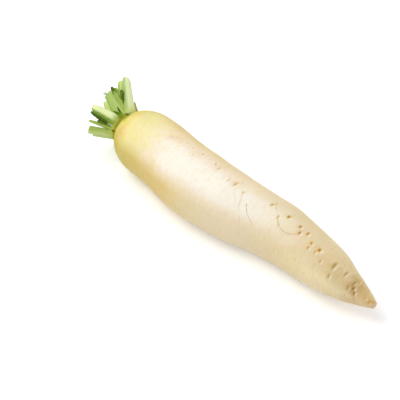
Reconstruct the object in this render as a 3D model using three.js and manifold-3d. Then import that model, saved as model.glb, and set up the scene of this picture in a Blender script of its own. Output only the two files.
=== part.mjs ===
// A daikon radish as it is sold: a long white root lying on its belly, with its leaf stalks cut short.
//
// Frame: millimetres, +Z up, the supporting surface at Z = 0. +X runs from the crown to the root's tip.
// The origin is the middle of the flattened strip under the belly, on which the root lies.
//
// The root is a row of circles along a gently bent centre line. A short stem, the crown, closes its
// thick end. Cut leaf stalks fan out of the crown, a few with scraps of leaf blade on their margins,
// and thin side roots lie against the skin. A station is a distance from the crown's end of the root,
// and an angle runs round the root's axis, 0 towards +Y and 90 degrees up. Neighbouring pieces are
// fitted to each other with manifold-3d, which leaves a seam between them.

import * as THREE from "three";
import Module from "manifold-3d";
import { mergeVertices } from "three/addons/utils/BufferGeometryUtils.js";

const wasm = await Module();
wasm.setup();

// ---------------------------------------------------------------- driving dimensions

const SEAM = 0.35; // gap between neighbouring pieces

const ROOT_LENGTH = 358.5;
const SHOULDER_LENGTH = 45; // from the crown's end to where the root has its full girth
const SHOULDER_RADIUS = 35.1;
const SHOULDER_EXPONENT = 2.04; // 2 would be an ellipse
const SEAT_RADIUS = 15; // the flat round seat of the crown, on top of the shoulder
const REST_STATION = 140; // the station of the origin
const BELLY_FLAT_DEPTH = 0.7; // how far the belly is pressed flat
const TIP_RISE = 16; // height of the underside at the tip
const RISE_START = 0.62 * ROOT_LENGTH; // the underside rises from this station on
const RISE_EXPONENT = 2.5;

// Radius at stations behind the shoulder.
const BODY_OUTLINE = [
  [SHOULDER_LENGTH, SHOULDER_RADIUS],
  [72, 35.2],
  [97, 35.6],
  [123, 36],
  [154, 35.3],
  [183, 33.7],
  [212, 31.2],
  [240, 29],
  [266, 26.6],
  [291, 24.2],
  [313, 20.4],
  [330, 15],
  [345, 9.4],
  [354, 5.6],
  [ROOT_LENGTH, 3.4],
];

// Sideways bow of the centre line at stations, towards +Y.
const BOW = [
  [0, 3.2],
  [60, 1.9],
  [120, -7.2],
  [180, -5.9],
  [240, 4.3],
  [300, 1.4],
  [330, 0],
  [ROOT_LENGTH, 1.6],
];

// Profile of the crown: height above the seat, and radius.
const CROWN_PROFILE = [
  [0, 14],
  [2.5, 13.4],
  [6, 10.5],
  [9, 5],
];

// Leaf stalks. `foot` is the ring radius and the angle where one leaves the crown, and `tip` the height
// above the seat, the spread from the root's axis and the angle of its cut end. `wide` and `deep` are
// at the foot and at the tip, and `cut` tilts the cut. Those placed first keep their shape.
const STALKS = [
  { name: "leaf_stalk_01", foot: [11, 51], tip: [35, 46.9, 52], wide: [13, 10], deep: [11.5, 8.5], cut: -3 },
  { name: "leaf_stalk_06", foot: [11.5, 118], tip: [38, 23.5, 133], wide: [15, 8.5], deep: [7.5, 6.5], cut: 3 },
  { name: "leaf_stalk_08", foot: [10.6, 195], tip: [35.5, 25.5, 195], wide: [10, 10], deep: [7, 6.5], cut: -4 },
  { name: "leaf_stalk_04", foot: [9.2, 96], tip: [34.8, 29.2, 84], wide: [12, 11], deep: [6, 5], cut: 6 },
  { name: "leaf_stalk_09", foot: [11, 213], tip: [32, 24.3, 208], wide: [9, 8], deep: [5, 4.5], cut: -2 },
  { name: "leaf_stalk_10", foot: [11.5, 264], tip: [35, 23, 273], wide: [12, 10], deep: [7, 6], cut: 2 },
  { name: "leaf_stalk_11", foot: [11.5, 304], tip: [37, 27, 306], wide: [12, 9.5], deep: [7, 6], cut: -3 },
  { name: "leaf_stalk_12", foot: [11.5, 343], tip: [38, 31, 340], wide: [12, 10], deep: [7, 6], cut: 3 },
  { name: "leaf_stalk_13", foot: [11.5, 12], tip: [37, 34, 12], wide: [11, 9], deep: [7, 6], cut: -2 },
  { name: "leaf_stalk_02", foot: [6.5, 55], tip: [42, 40.8, 50], wide: [10, 8], deep: [7, 6], cut: 2 },
  { name: "leaf_stalk_03", foot: [5, 75], tip: [40, 31.6, 57], wide: [9, 8], deep: [5, 4.5], cut: 1 },
  { name: "leaf_stalk_05", foot: [4.5, 110], tip: [40, 15.5, 77], wide: [14, 8.5], deep: [5, 4.5], cut: -2 },
  { name: "leaf_stalk_07", foot: [9.3, 172], tip: [40, 20.1, 177], wide: [6, 3], deep: [4, 2.5], cut: 0 },
  { name: "leaf_stalk_14", foot: [5, 290], tip: [40, 12, 290], wide: [9, 7], deep: [5, 4], cut: 2 },
  { name: "leaf_stalk_15", foot: [4.5, 215], tip: [37, 7, 220], wide: [8, 6], deep: [5, 4], cut: -2 },
  { name: "leaf_stalk_16", foot: [11.5, 148], tip: [28, 12, 165], wide: [5, 2.5], deep: [3, 2], cut: 0 },
  { name: "leaf_base_1", foot: [16.5, 30], tip: [17, 30, 33], wide: [13, 1.5], deep: [8, 1.5], cut: 0 },
  { name: "leaflet_1", foot: [16.2, 104], tip: [14, 23.6, 93], wide: [3.2, 1], deep: [1.6, 1], cut: 0 },
  { name: "leaflet_2", foot: [16.2, 101], tip: [10.5, 24, 112], wide: [5, 1.5], deep: [1.8, 1], cut: 0 },
];

// Scraps of leaf blade along a margin of a stalk, between two shares of its length. `lean` is the
// angle from the stalk's width towards its outer side.
const SCRAPS = [
  { name: "leaf_scrap_1", stalk: "leaf_stalk_02", side: -1, from: 0.42, to: 0.74, width: 8, lean: 60 },
  { name: "leaf_scrap_2", stalk: "leaf_stalk_03", side: -1, from: 0.78, to: 0.97, width: 6, lean: 40 },
  { name: "leaf_scrap_3", stalk: "leaf_stalk_06", side: -1, from: 0.35, to: 1, width: 2.8, lean: 10 },
  { name: "leaf_scrap_4", stalk: "leaf_stalk_07", side: 1, from: 0.48, to: 0.75, width: 2.5, lean: 0 },
  { name: "leaf_scrap_5", stalk: "leaf_stalk_12", side: -1, from: 0.5, to: 0.97, width: 5, lean: 15 },
  { name: "leaf_scrap_6", stalk: "leaf_stalk_10", side: -1, from: 0.45, to: 0.9, width: 4, lean: 25 },
];

// A wing of pale stalk flesh, made like a scrap.
const WINGS = [
  { name: "stalk_wing_1", stalk: "leaf_stalk_04", side: 1, from: 0.3, to: 0.97, width: 3.5, lean: 10 },
];
const SCRAP_THICKNESS = 0.9;
const RAGGED_EDGE = [0.25, 0.85, 0.6, 1, 0.75, 0.9, 0.35]; // shares of a scrap's width along its length

// Thin side roots that lie against the skin: [station, angle] points along each.
const ROOTLET_RADIUS = 0.5;
const ROOTLETS = [
  { name: "rootlet_1", route: [[241, 108], [245, 118], [252, 125], [260, 125], [268, 114]] },
  { name: "rootlet_2", route: [[210, 119], [213, 127], [218, 137], [226, 147]] },
  { name: "rootlet_3", route: [[339, 62], [341, 89], [341, 116]] },
  { name: "rootlet_4", route: [[232, 325], [240, 335], [250, 331], [258, 339]] },
  { name: "rootlet_5", route: [[312, 300], [316, 312], [322, 318]] },
];

// Segments and steps of the faceted solids.
const ROOT_SIDES = 40;
const SHOULDER_STEPS = 9;
const BODY_STEP = 12;
const STALK_STEPS = 7;
const OUTER_STEPS = 6;

// ---------------------------------------------------------------- shaping tools

const { degToRad: radians, lerp } = THREE.MathUtils;

// A smooth curve through [x, y] pairs, as a function of x.
function smoothThrough(pairs) {
  const last = pairs.length - 1;
  const slopes = pairs.map((_, i) => {
    const before = pairs[Math.max(i - 1, 0)];
    const after = pairs[Math.min(i + 1, last)];
    return (after[1] - before[1]) / (after[0] - before[0]);
  });
  return (x) => {
    let i = 0;
    while (i < last - 1 && x > pairs[i + 1][0]) i += 1;
    const run = pairs[i + 1][0] - pairs[i][0];
    const t = (x - pairs[i][0]) / run;
    const start = (1 + 2 * t) * (1 - t) ** 2 * pairs[i][1] + t * (1 - t) ** 2 * run * slopes[i];
    const end = t * t * (3 - 2 * t) * pairs[i + 1][1] - t * t * (1 - t) * run * slopes[i + 1];
    return start + end;
  };
}

// A closed body through rings of equal point count, with a fan over each end. The rings run
// anticlockwise seen from the first ring towards the last.
function loft(rings) {
  const count = rings[0].length;
  const points = rings.flat();
  const faces = [];
  for (let ring = 0; ring + 1 < rings.length; ring += 1) {
    for (let i = 0; i < count; i += 1) {
      const [a, b] = [ring * count + i, ring * count + ((i + 1) % count)];
      faces.push(a, a + count, b, b, a + count, b + count);
    }
  }
  for (const [ring, turn] of [[0, 1], [rings.length - 1, -1]]) {
    const middle = rings[ring].reduce((sum, p) => sum.add(p), new THREE.Vector3());
    const hub = points.push(middle.divideScalar(count)) - 1;
    for (let i = 0; i < count; i += 1) {
      const rim = [ring * count + i, ring * count + ((i + 1) % count)];
      faces.push(hub, ...(turn > 0 ? rim : rim.reverse()));
    }
  }
  return new THREE.BufferGeometry().setFromPoints(points).setIndex(faces);
}

// A three.js geometry as a manifold-3d solid, facing out.
function solidFrom(geometry) {
  const bare = geometry.clone();
  bare.deleteAttribute("normal");
  bare.deleteAttribute("uv");
  const merged = mergeVertices(bare, 1e-4);
  const vertProperties = merged.attributes.position.array;
  const triVerts = new Uint32Array(merged.index.array);
  const solid = new wasm.Manifold(new wasm.Mesh({ numProp: 3, vertProperties, triVerts }));
  if (solid.volume() > 0) return solid;
  return new wasm.Manifold(new wasm.Mesh({ numProp: 3, vertProperties, triVerts: triVerts.reverse() }));
}

// The largest body of a manifold-3d solid, as a three.js geometry.
function geometryFrom(solid) {
  const bodies = solid.decompose().sort((a, b) => b.volume() - a.volume());
  const mesh = bodies[0].getMesh();
  const geometry = new THREE.BufferGeometry();
  geometry.setAttribute("position", new THREE.BufferAttribute(mesh.vertProperties, 3));
  geometry.setIndex(new THREE.BufferAttribute(mesh.triVerts, 1));
  geometry.computeVertexNormals();
  return geometry;
}

// ---------------------------------------------------------------- the root

const bodyRadius = smoothThrough(BODY_OUTLINE);
const bow = smoothThrough(BOW);

// Share of the shoulder's radius and of its length are tied by one superellipse.
const rounded = (share) => (1 - share ** SHOULDER_EXPONENT) ** (1 / SHOULDER_EXPONENT);
const SEAT_STATION = SHOULDER_LENGTH * (1 - rounded(SEAT_RADIUS / SHOULDER_RADIUS));

function rootRadius(station) {
  if (station >= SHOULDER_LENGTH) return bodyRadius(station);
  return SHOULDER_RADIUS * rounded(1 - station / SHOULDER_LENGTH);
}

function rootCentre(station) {
  const rise = Math.max(0, (station - RISE_START) / (ROOT_LENGTH - RISE_START));
  const girth = station < SHOULDER_LENGTH ? SHOULDER_RADIUS : bodyRadius(station);
  return new THREE.Vector3(
    station - REST_STATION,
    bow(station) - bow(REST_STATION),
    girth - BELLY_FLAT_DEPTH + TIP_RISE * rise ** RISE_EXPONENT,
  );
}

// The direction away from the root's axis at an angle in degrees.
const outward = (angle) => new THREE.Vector3(0, Math.cos(radians(angle)), Math.sin(radians(angle)));

function rootRing(station, extra) {
  const centre = rootCentre(station);
  const radius = rootRadius(station) + extra;
  const angles = Array.from({ length: ROOT_SIDES }, (_, i) => (360 * i) / ROOT_SIDES);
  return angles.map((angle) => centre.clone().addScaledVector(outward(angle), radius));
}

// The root, `extra` larger all round. Its stations are close together on the shoulder.
function rootSolid(extra = 0) {
  const seatTurn = Math.acos(1 - SEAT_STATION / SHOULDER_LENGTH);
  const stations = [];
  for (let i = 0; i < SHOULDER_STEPS; i += 1) {
    const turn = lerp(seatTurn, Math.PI / 2, i / SHOULDER_STEPS);
    stations.push(SHOULDER_LENGTH * (1 - Math.cos(turn)));
  }
  for (let station = SHOULDER_LENGTH; station < ROOT_LENGTH; station += BODY_STEP) stations.push(station);
  stations.push(ROOT_LENGTH);
  const rings = stations.map((station) => rootRing(station, extra));
  rings[0].forEach((point) => (point.x -= extra));
  const floorDepth = 20;
  const floor = new THREE.BoxGeometry(3 * ROOT_LENGTH, ROOT_LENGTH, floorDepth);
  floor.translate(0, 0, -floorDepth / 2);
  return solidFrom(loft(rings)).subtract(solidFrom(floor));
}

// ---------------------------------------------------------------- the crown

const seatCentre = rootCentre(SEAT_STATION);

// A turned stem that stands on the seat, `extra` larger all round.
function crownSolid(extra = 0) {
  const profile = CROWN_PROFILE.map(([height, radius]) => new THREE.Vector2(radius + extra, height + SEAM));
  const base = new THREE.Vector2(0, profile[0].y - extra);
  const top = new THREE.Vector2(0, profile.at(-1).y + extra);
  profile[0].y -= extra;
  profile.at(-1).y += extra;
  const turned = new THREE.LatheGeometry([base, ...profile, top], 28);
  turned.rotateZ(Math.PI / 2).translate(seatCentre.x, seatCentre.y, seatCentre.z);
  return solidFrom(turned);
}

// ---------------------------------------------------------------- leaf stalks

// A point beside the crown: `height` above the seat, `spread` from the axis.
function aboveSeat(height, spread, angle) {
  const point = seatCentre.clone().addScaledVector(outward(angle), spread);
  point.x -= height;
  return point;
}

// The stalk's centre line, which leaves the crown steeply and leans outwards.
function stalkLine({ foot, tip }) {
  const [radius, footAngle] = foot;
  const [height, spread, tipAngle] = tip;
  const bend = aboveSeat(0.5 * height, lerp(radius, spread, 0.45), lerp(footAngle, tipAngle, 0.5));
  const start = aboveSeat(-1.5, radius, footAngle);
  return new THREE.QuadraticBezierCurve3(start, bend, aboveSeat(height, spread, tipAngle));
}

// Centre, outer side, width direction and half width of a stalk at a share of its length.
function stalkFrame(stalk, share) {
  const line = stalkLine(stalk);
  const along = line.getTangent(share);
  const outer = outward(lerp(stalk.foot[1], stalk.tip[2], share));
  outer.addScaledVector(along, -outer.dot(along)).normalize();
  const across = new THREE.Vector3().crossVectors(along, outer);
  return { centre: line.getPoint(share), along, outer, across, halfWidth: lerp(...stalk.wide, share) / 2 };
}

// Crescent section: a round outer side, and an inner side with a shallow groove between two lips.
function crescent(width, depth) {
  const margin = -0.15 * depth; // how far the widest place is behind the middle
  const points = [];
  for (let i = 0; i <= OUTER_STEPS; i += 1) {
    const turn = (Math.PI * i) / OUTER_STEPS;
    points.push([(width / 2) * Math.cos(turn), margin + 0.65 * depth * Math.sin(turn)]);
  }
  const inner = [0.35, 0.2, 0.35];
  for (const [i, share] of inner.entries()) {
    points.push([((i + 1) / (inner.length + 1) - 0.5) * width, margin - share * depth]);
  }
  return points;
}

// The stalk, `extra` larger all round.
function stalkSolid(stalk, extra = 0) {
  const rings = [];
  for (let step = 0; step <= STALK_STEPS; step += 1) {
    const share = step / STALK_STEPS;
    const { centre, along, outer, across, halfWidth } = stalkFrame(stalk, share);
    const section = crescent(2 * (halfWidth + extra), lerp(...stalk.deep, share) + 2 * extra);
    const isEnd = step === STALK_STEPS;
    const points = section.map(([u, v]) => {
      const point = centre.clone().addScaledVector(across, u).addScaledVector(outer, v);
      if (isEnd) point.addScaledVector(along, extra + (stalk.cut * u) / (2 * halfWidth));
      return point;
    });
    rings.push(points);
  }
  return solidFrom(loft(rings));
}

// ---------------------------------------------------------------- scraps of leaf blade

// A thin ribbon with a ragged outer edge along a margin of its stalk, `extra` larger all round.
function scrapSolid(scrap, extra = 0) {
  const stalk = STALKS.find(({ name }) => name === scrap.stalk);
  const lean = radians(scrap.lean);
  const rings = RAGGED_EDGE.map((height, i) => {
    const share = lerp(scrap.from, scrap.to, i / (RAGGED_EDGE.length - 1));
    const { centre, along, outer, across, halfWidth } = stalkFrame(stalk, share);
    const out = across.clone().multiplyScalar(scrap.side * Math.cos(lean));
    out.addScaledVector(outer, Math.sin(lean));
    const face = new THREE.Vector3().crossVectors(along, out);
    face.multiplyScalar(SCRAP_THICKNESS / 2 + extra);
    const margin = centre.clone().addScaledVector(across, scrap.side * halfWidth);
    const edge = margin.clone().addScaledVector(out, 1 + height * scrap.width + extra);
    return [
      margin.clone().add(face),
      edge.clone().add(face),
      edge.clone().sub(face),
      margin.clone().sub(face),
    ];
  });
  return solidFrom(loft(rings));
}

// ---------------------------------------------------------------- thin side roots

// A tapering thread along [station, angle] points, resting against the skin.
function rootletSolid({ route }) {
  const lift = ROOTLET_RADIUS + SEAM + 0.15;
  const guide = route.map(([station, angle]) =>
    rootCentre(station).addScaledVector(outward(angle), rootRadius(station) + lift),
  );
  const line = new THREE.CatmullRomCurve3(guide);
  const steps = 3 * (route.length - 1);
  const sides = 6;
  const rings = [];
  for (let step = 0; step <= steps; step += 1) {
    const share = step / steps;
    const along = line.getTangent(share);
    const side = new THREE.Vector3(0, -along.z, along.y).normalize();
    const up = new THREE.Vector3().crossVectors(side, along);
    const radius = ROOTLET_RADIUS * (1 - 0.5 * share);
    const turns = Array.from({ length: sides }, (_, i) => (2 * Math.PI * i) / sides);
    rings.push(
      turns.map((turn) =>
        line
          .getPoint(share)
          .addScaledVector(side, radius * Math.cos(turn))
          .addScaledVector(up, radius * Math.sin(turn)),
      ),
    );
  }
  return solidFrom(loft(rings));
}

// ---------------------------------------------------------------- materials

const skin = new THREE.MeshStandardMaterial({ color: 0xf1e4c3, roughness: 0.42, metalness: 0 });
const stem = new THREE.MeshStandardMaterial({ color: 0xa8ae4a, roughness: 0.6, metalness: 0 });
const stalkFlesh = new THREE.MeshStandardMaterial({ color: 0xb4cf7c, roughness: 0.5, metalness: 0 });
const blade = new THREE.MeshStandardMaterial({ color: 0x4d7a1f, roughness: 0.6, metalness: 0 });
const thread = new THREE.MeshStandardMaterial({ color: 0xcdb27a, roughness: 0.7, metalness: 0 });

// ---------------------------------------------------------------- assembly

const radish = new THREE.Group();

function addPiece(name, solid, material) {
  const mesh = new THREE.Mesh(geometryFrom(solid), material);
  mesh.name = name;
  radish.add(mesh);
}

addPiece("root", rootSolid(), skin);
addPiece("crown", crownSolid(), stem);

// `taken` grows with every piece, so that each is cut back to a seam from those before it.
let taken = rootSolid(SEAM).add(crownSolid(SEAM));

function fitPiece(name, solid, larger, material) {
  addPiece(name, solid.subtract(taken), material);
  taken = taken.add(larger);
}

for (const stalk of STALKS) fitPiece(stalk.name, stalkSolid(stalk), stalkSolid(stalk, SEAM), stalkFlesh);
for (const wing of WINGS) fitPiece(wing.name, scrapSolid(wing), scrapSolid(wing, SEAM), stalkFlesh);
for (const scrap of SCRAPS) fitPiece(scrap.name, scrapSolid(scrap), scrapSolid(scrap, SEAM), blade);
for (const rootlet of ROOTLETS) addPiece(rootlet.name, rootletSolid(rootlet), thread);

export default radish;
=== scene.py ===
"""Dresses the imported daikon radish: skin, crown, cut leaf stalks, scraps of leaf and side roots.

Every size is in millimetres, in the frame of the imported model, and becomes metres when a mesh is made.
A station is a distance along the root from its crown end. An angle runs round the root's axis, 0
towards +Y and 90 degrees up. A share runs from 0 at a stalk's foot to 1 at its cut end.
"""

from __future__ import annotations

import logging
import math
from dataclasses import dataclass, field
from enum import Enum
from functools import partial
from typing import Callable, Sequence

import bpy
import numpy as np
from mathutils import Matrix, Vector


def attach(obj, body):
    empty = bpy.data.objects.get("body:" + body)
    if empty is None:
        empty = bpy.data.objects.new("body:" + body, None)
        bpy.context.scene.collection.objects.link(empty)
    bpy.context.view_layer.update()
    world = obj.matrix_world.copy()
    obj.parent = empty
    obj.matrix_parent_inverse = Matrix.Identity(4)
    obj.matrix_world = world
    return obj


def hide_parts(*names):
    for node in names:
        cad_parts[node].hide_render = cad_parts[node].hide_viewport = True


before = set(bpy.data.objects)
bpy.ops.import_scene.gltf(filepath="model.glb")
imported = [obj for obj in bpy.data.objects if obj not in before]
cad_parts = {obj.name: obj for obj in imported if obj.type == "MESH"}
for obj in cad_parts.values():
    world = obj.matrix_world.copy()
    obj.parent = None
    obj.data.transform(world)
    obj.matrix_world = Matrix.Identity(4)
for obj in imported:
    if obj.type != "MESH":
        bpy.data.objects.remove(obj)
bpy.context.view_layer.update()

LOG = logging.getLogger("radish")
MM = 0.001
CAMERA_SIDE = 133.0  # the angle round the root that faces the viewer
Array = np.ndarray
Socket = bpy.types.NodeSocket
Adder = Callable[..., Socket]


class Slot(Enum):
    """The record's material slots."""

    ROOT_SKIN = "root_skin"
    CROWN = "crown"
    LEAF_STALK = "leaf_stalk"
    LEAF_BASE = "leaf_base"
    LEAF_BLADE = "leaf_blade"
    ROOTLET = "rootlet"


# ---------------------------------------------------------------- colour and nodes

# Settings that many nodes share.
SMOOTH = {"interpolation_type": "SMOOTHSTEP"}
COLOURS = {"data_type": "RGBA"}
SUM = {"operation": "ADD"}
PRODUCT = {"operation": "MULTIPLY"}


def hex_to_linear(code: str) -> tuple[float, float, float, float]:
    """Turns an sRGB hex colour into linear red, green, blue and alpha.

    Args:
        code: Six hex digits, such as "f4ead3".

    Returns:
        Linear RGBA with alpha 1.
    """
    values = [int(code[i : i + 2], 16) / 255 for i in (0, 2, 4)]
    linear = [v / 12.92 if v <= 0.04045 else ((v + 0.055) / 1.055) ** 2.4 for v in values]
    return (*linear, 1.0)


def add_node(
    tree: bpy.types.NodeTree,
    kind: str,
    inputs: Sequence[object] | dict[str, object] = (),
    output: str | None = None,
    **settings: object,
) -> Socket:
    """Adds a node, applies its settings, and fills or links its inputs.

    Args:
        tree: The node tree that gets the node.
        kind: The node's type without "ShaderNode", such as "TexNoise".
        inputs: Values for the inputs in use, in the node's own order or by name. A socket is linked,
            and a string is an sRGB hex colour.
        output: Name of the output to return. The first one in use if left out.
        settings: The node's own properties, such as operation="ADD".

    Returns:
        The chosen output socket, or the node's first input if it has no outputs.
    """
    node = tree.nodes.new("ShaderNode" + kind)
    for name, value in settings.items():
        setattr(node, name, value)
    in_use = [socket for socket in node.inputs if socket.enabled]
    if isinstance(inputs, dict):
        filled = [(next(s for s in in_use if s.name == name), value) for name, value in inputs.items()]
    else:
        filled = list(zip(in_use, inputs))
    for socket, value in filled:
        if isinstance(value, bpy.types.NodeSocket):
            tree.links.new(value, socket)
        else:
            socket.default_value = hex_to_linear(value) if isinstance(value, str) else value
    outputs = [s for s in node.outputs if s.enabled and output in (None, s.name)]
    return outputs[0] if outputs else node.inputs[0]


def empty_material(name: str) -> tuple[bpy.types.Material, Adder]:
    """Makes a material without nodes.

    Args:
        name: The material's name.

    Returns:
        The material, and add_node for its tree.
    """
    material = bpy.data.materials.new(name)
    material.use_nodes = True
    material.node_tree.nodes.clear()
    return material, partial(add_node, material.node_tree)


def coat(add: Adder, colour: Socket | str, *coats: tuple) -> Socket:
    """Lays colours over one another.

    Args:
        add: Adds a node to the material.
        colour: The lowest colour.
        coats: Each a colour and its covers, whose product says how much it hides. A cover is a socket, or
            a socket with the range that is eased to 0..1, or to the two numbers that follow it.

    Returns:
        The colour on top.
    """
    for over, *covers in coats:
        ready = [add("MapRange", held, **SMOOTH) if isinstance(held, tuple) else held for held in covers]
        hidden = ready[0]
        for other in ready[1:]:
            hidden = add("Math", [hidden, other], **PRODUCT)
        colour = add("Mix", [hidden, colour, over], **COLOURS)
    return colour


@dataclass(frozen=True)
class Pattern:
    """Noise whose features have a real size along each axis of the coordinates that it follows."""

    name: str
    size_mm: tuple[float, float, float]
    detail: float
    roughness: float

    @property
    def scale(self) -> tuple[float, ...]:
        """The noise's scale along each axis."""
        return tuple(1 / size for size in self.size_mm)


# ---------------------------------------------------------------- finishes


@dataclass(frozen=True)
class RadishSkin:
    """Fresh daikon skin, grown and washed: a thin moist cuticle over white flesh.

    The cuticle gives a soft gloss, and the flesh lets light sink in a little. It reads the measures skin
    (straightened coordinates), scar, rim, stain, gold, green, crease and seat; rim holds painted highlights
    on the scars' lips, and seat holds painted shade under the leaf stalks. Colours along the root are
    (station, colour), for the side that faces up, painted lighter as if lit, and for its flanks, a yellower
    skin painted darker as shade.
    """

    # The side that faces up is painted lighter, as if lit.
    lit_upper: tuple[tuple[float, str], ...] = (
        (4, "a8a414"), (12, "beba2c"), (20, "eede6c"), (32, "f3e698"), (48, "f2e69b"),
        (65, "f4e6ac"), (85, "f5e1bb"), (105, "f6e6ca"), (125, "f6e5cd"), (150, "f9e9d3"),
        (175, "fae9d1"), (200, "f8e8ca"), (225, "f2e2c0"), (250, "ecdbb6"), (275, "e6d4ab"),
        (300, "e5d3a9"), (318, "e5cf9d"), (332, "dbc695"), (345, "c8a96c"), (353, "e8cc95"),
    )  # fmt: skip
    # The flanks are a yellower skin, painted darker as shade.
    yellow_and_shaded_flank: tuple[tuple[float, str], ...] = (
        (4, "a0a00c"), (12, "b2ae16"), (20, "c0b424"), (32, "cfbd55"), (48, "d5c064"),
        (65, "d8bf64"), (85, "dcc070"), (105, "ddc171"), (125, "e6cc8a"), (150, "e9d7a6"),
        (175, "ebd9b3"), (200, "efdebb"), (225, "ecdbb7"), (250, "e9d6ab"), (275, "ecd9aa"),
        (300, "f2e1b6"), (318, "efdcb0"), (332, "ead9ac"), (345, "dec498"), (353, "e6cc9a"),
    )  # fmt: skip
    # A white for the painted highlight band, and for faint pale streaks.
    pale_streak_and_highlight: str = "fcf7ea"
    blush: str = "f3d2b6"
    sap: str = "e8df80"
    # The shoulder's olive green, laid on beside the crown partly as painted shade.
    green: str = "84901a"
    crease: str = "cba869"
    streak: str = "e2c08c"
    stain: str = "bf9240"
    gold: str = "dcae30"
    scar: str = "a06a14"
    halo: str = "dcae54"
    shade: str = "b89e5c"
    # A painted highlight on the raised lip of each scar.
    scar_lip_highlight: str = "faf0d8"
    # Painted shade in the crevice under the leaf stalks.
    seat: str = "45400a"
    # A tan, painted as shade on the far side, towards the top.
    tan: str = "e8c878"
    lit_side_at: float = 111.0  # the angle of the middle of the side that faces up, painted lighter as if lit
    highlight_at: float = 121.0  # the angle of the painted highlight band, where it is whitest
    far_side_shade_at: float = 35.0  # the far side, towards the top, where shade is painted
    longest: float = 360.0  # the station that ends the colours along the root
    drift: float = 7.0  # how far they wander along it, in mm
    # Sizes run along the root and across it. Pores and the finest wrinkles are a few tenths of a
    # millimetre, too fine to show, so grain and wrinkle are drawn 1 to 1.5 mm coarse.
    patterns: tuple[Pattern, ...] = (
        Pattern("cloud", (26, 20, 20), 3, 0.55),
        Pattern("mottle", (8, 9, 9), 4, 0.62),
        Pattern("fleck", (2.6, 4, 4), 3, 0.6),
        Pattern("wrinkle", (1.5, 12, 12), 3, 0.6),
        Pattern("streak", (1.7, 6, 6), 2, 0.6),
        Pattern("ring", (4.5, 60, 60), 2, 0.5),
        Pattern("grain", (0.9, 1.1, 1.1), 2, 0.5),
    )
    ring_depth: float = 0.35
    wrinkle_depth: float = 0.1
    grain_depth: float = 0.03
    roughness: float = 0.5
    ior: float = 1.46  # plant wax, a little moist

    def _along_root(self, add: Adder, place: Socket, stops: Sequence[tuple[float, str]]) -> Socket:
        """Runs a colour along the root.

        Args:
            add: Adds a node to the material.
            place: The station, with its drift.
            stops: Colours at stations.

        Returns:
            The colour.
        """
        share = add("Math", [place, self.longest], operation="DIVIDE")
        colour = add("ValToRGB", [share])
        elements = colour.node.color_ramp.elements
        for count, (station, code) in enumerate(stops):
            # The node starts with two stops.
            element = elements[count] if count < 2 else elements.new(station / self.longest)
            element.position = station / self.longest
            element.color = hex_to_linear(code)
        return colour

    def _facing(self, add: Adder, skin: Socket, angle: float) -> Socket:
        """Compares where the skin faces with one direction across the root.

        Args:
            add: Adds a node to the material.
            skin: Straightened coordinates.
            angle: The direction's angle round the root.

        Returns:
            The cosine of the turn between them.
        """
        across = add("VectorMath", [skin, (0, 1, 1)], operation="MULTIPLY")
        facing = add("VectorMath", [across], operation="NORMALIZE")
        turn = math.radians(angle)
        towards = (0, math.cos(turn), math.sin(turn))
        return add("VectorMath", [facing, towards], "Value", operation="DOT_PRODUCT")

    def _ground(self, add: Adder, skin: Socket, station: Socket, noise: dict[str, Socket]) -> Socket:
        """Colours the root: yellow where it stood out of the soil, then peach white, and tan at the tip.

        Args:
            add: Adds a node to the material.
            skin: Straightened coordinates.
            station: The station.
            noise: The patterns.

        Returns:
            The colour.
        """
        cloud, mottle = noise["cloud"], noise["mottle"]
        drift = add("MapRange", [cloud, 0.3, 0.7, -self.drift, self.drift], **SMOOTH)
        place = add("Math", [station, drift], **SUM)
        # The side that faces up, painted lighter as if lit, is broad along the first third, and narrow
        # beside the crown.
        towards_lit_side = self._facing(add, skin, self.lit_side_at)
        for shift in (
            (cloud, 0.3, 0.7, -0.02, 0.02),
            (place, 150, 100, 0, 0.07),
            (place, 42, 26, 0, -0.14),
        ):
            towards_lit_side = add("Math", [towards_lit_side, add("MapRange", shift, **SMOOTH)], **SUM)
        wander = add("MapRange", [mottle, 0.3, 0.7, -0.03, 0.03], **SMOOTH)
        towards_highlight = add("Math", [self._facing(add, skin, self.highlight_at), wander], **SUM)
        towards_far_side = self._facing(add, skin, self.far_side_shade_at)
        top, side = (self._along_root(add, place, stops) for stops in (self.lit_upper, self.yellow_and_shaded_flank))
        # Peach blush where the skin was rubbed, a painted highlight band, and sap-yellow clouds.
        top = coat(
            add,
            top,
            (self.blush, (mottle, 0.48, 0.72, 0, 0.4)),
            (self.pale_streak_and_highlight, (towards_highlight, 0.82, 0.985), (place, 45, 120, 0, 0.8), (place, 285, 200)),
            (self.sap, (mottle, 0.5, 0.3, 0, 0.5), (station, 130, 60, 0.15, 1)),
        )
        return coat(
            add,
            top,
            # The yellower flanks, painted darker as shade.
            (side, (towards_lit_side, 0.96, 0.53)),
            # Painted shade on the far side, towards the top.
            (self.tan, (towards_far_side, 0.55, 0.9), (station, 46, 66, 0, 0.36), (station, 150, 240, 1, 0.5)),
        )

    def _marked(self, add: Adder, station: Socket, noise: dict[str, Socket], colour: Socket) -> Socket:
        """Lays lines, clouded spots, scars, painted highlights on their lips and painted shade under the
        leaf stalks over the skin.

        Args:
            add: Adds a node to the material.
            station: The station.
            noise: The patterns.
            colour: The colour underneath.

        Returns:
            The colour.
        """
        names = ("crease", "green", "gold", "stain", "rim", "scar", "seat")
        mark = {name: add("Attribute", output="Fac", attribute_name=name) for name in names}
        clouded = (noise["mottle"], 0.3, 0.6, 0.35, 1.0)
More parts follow.
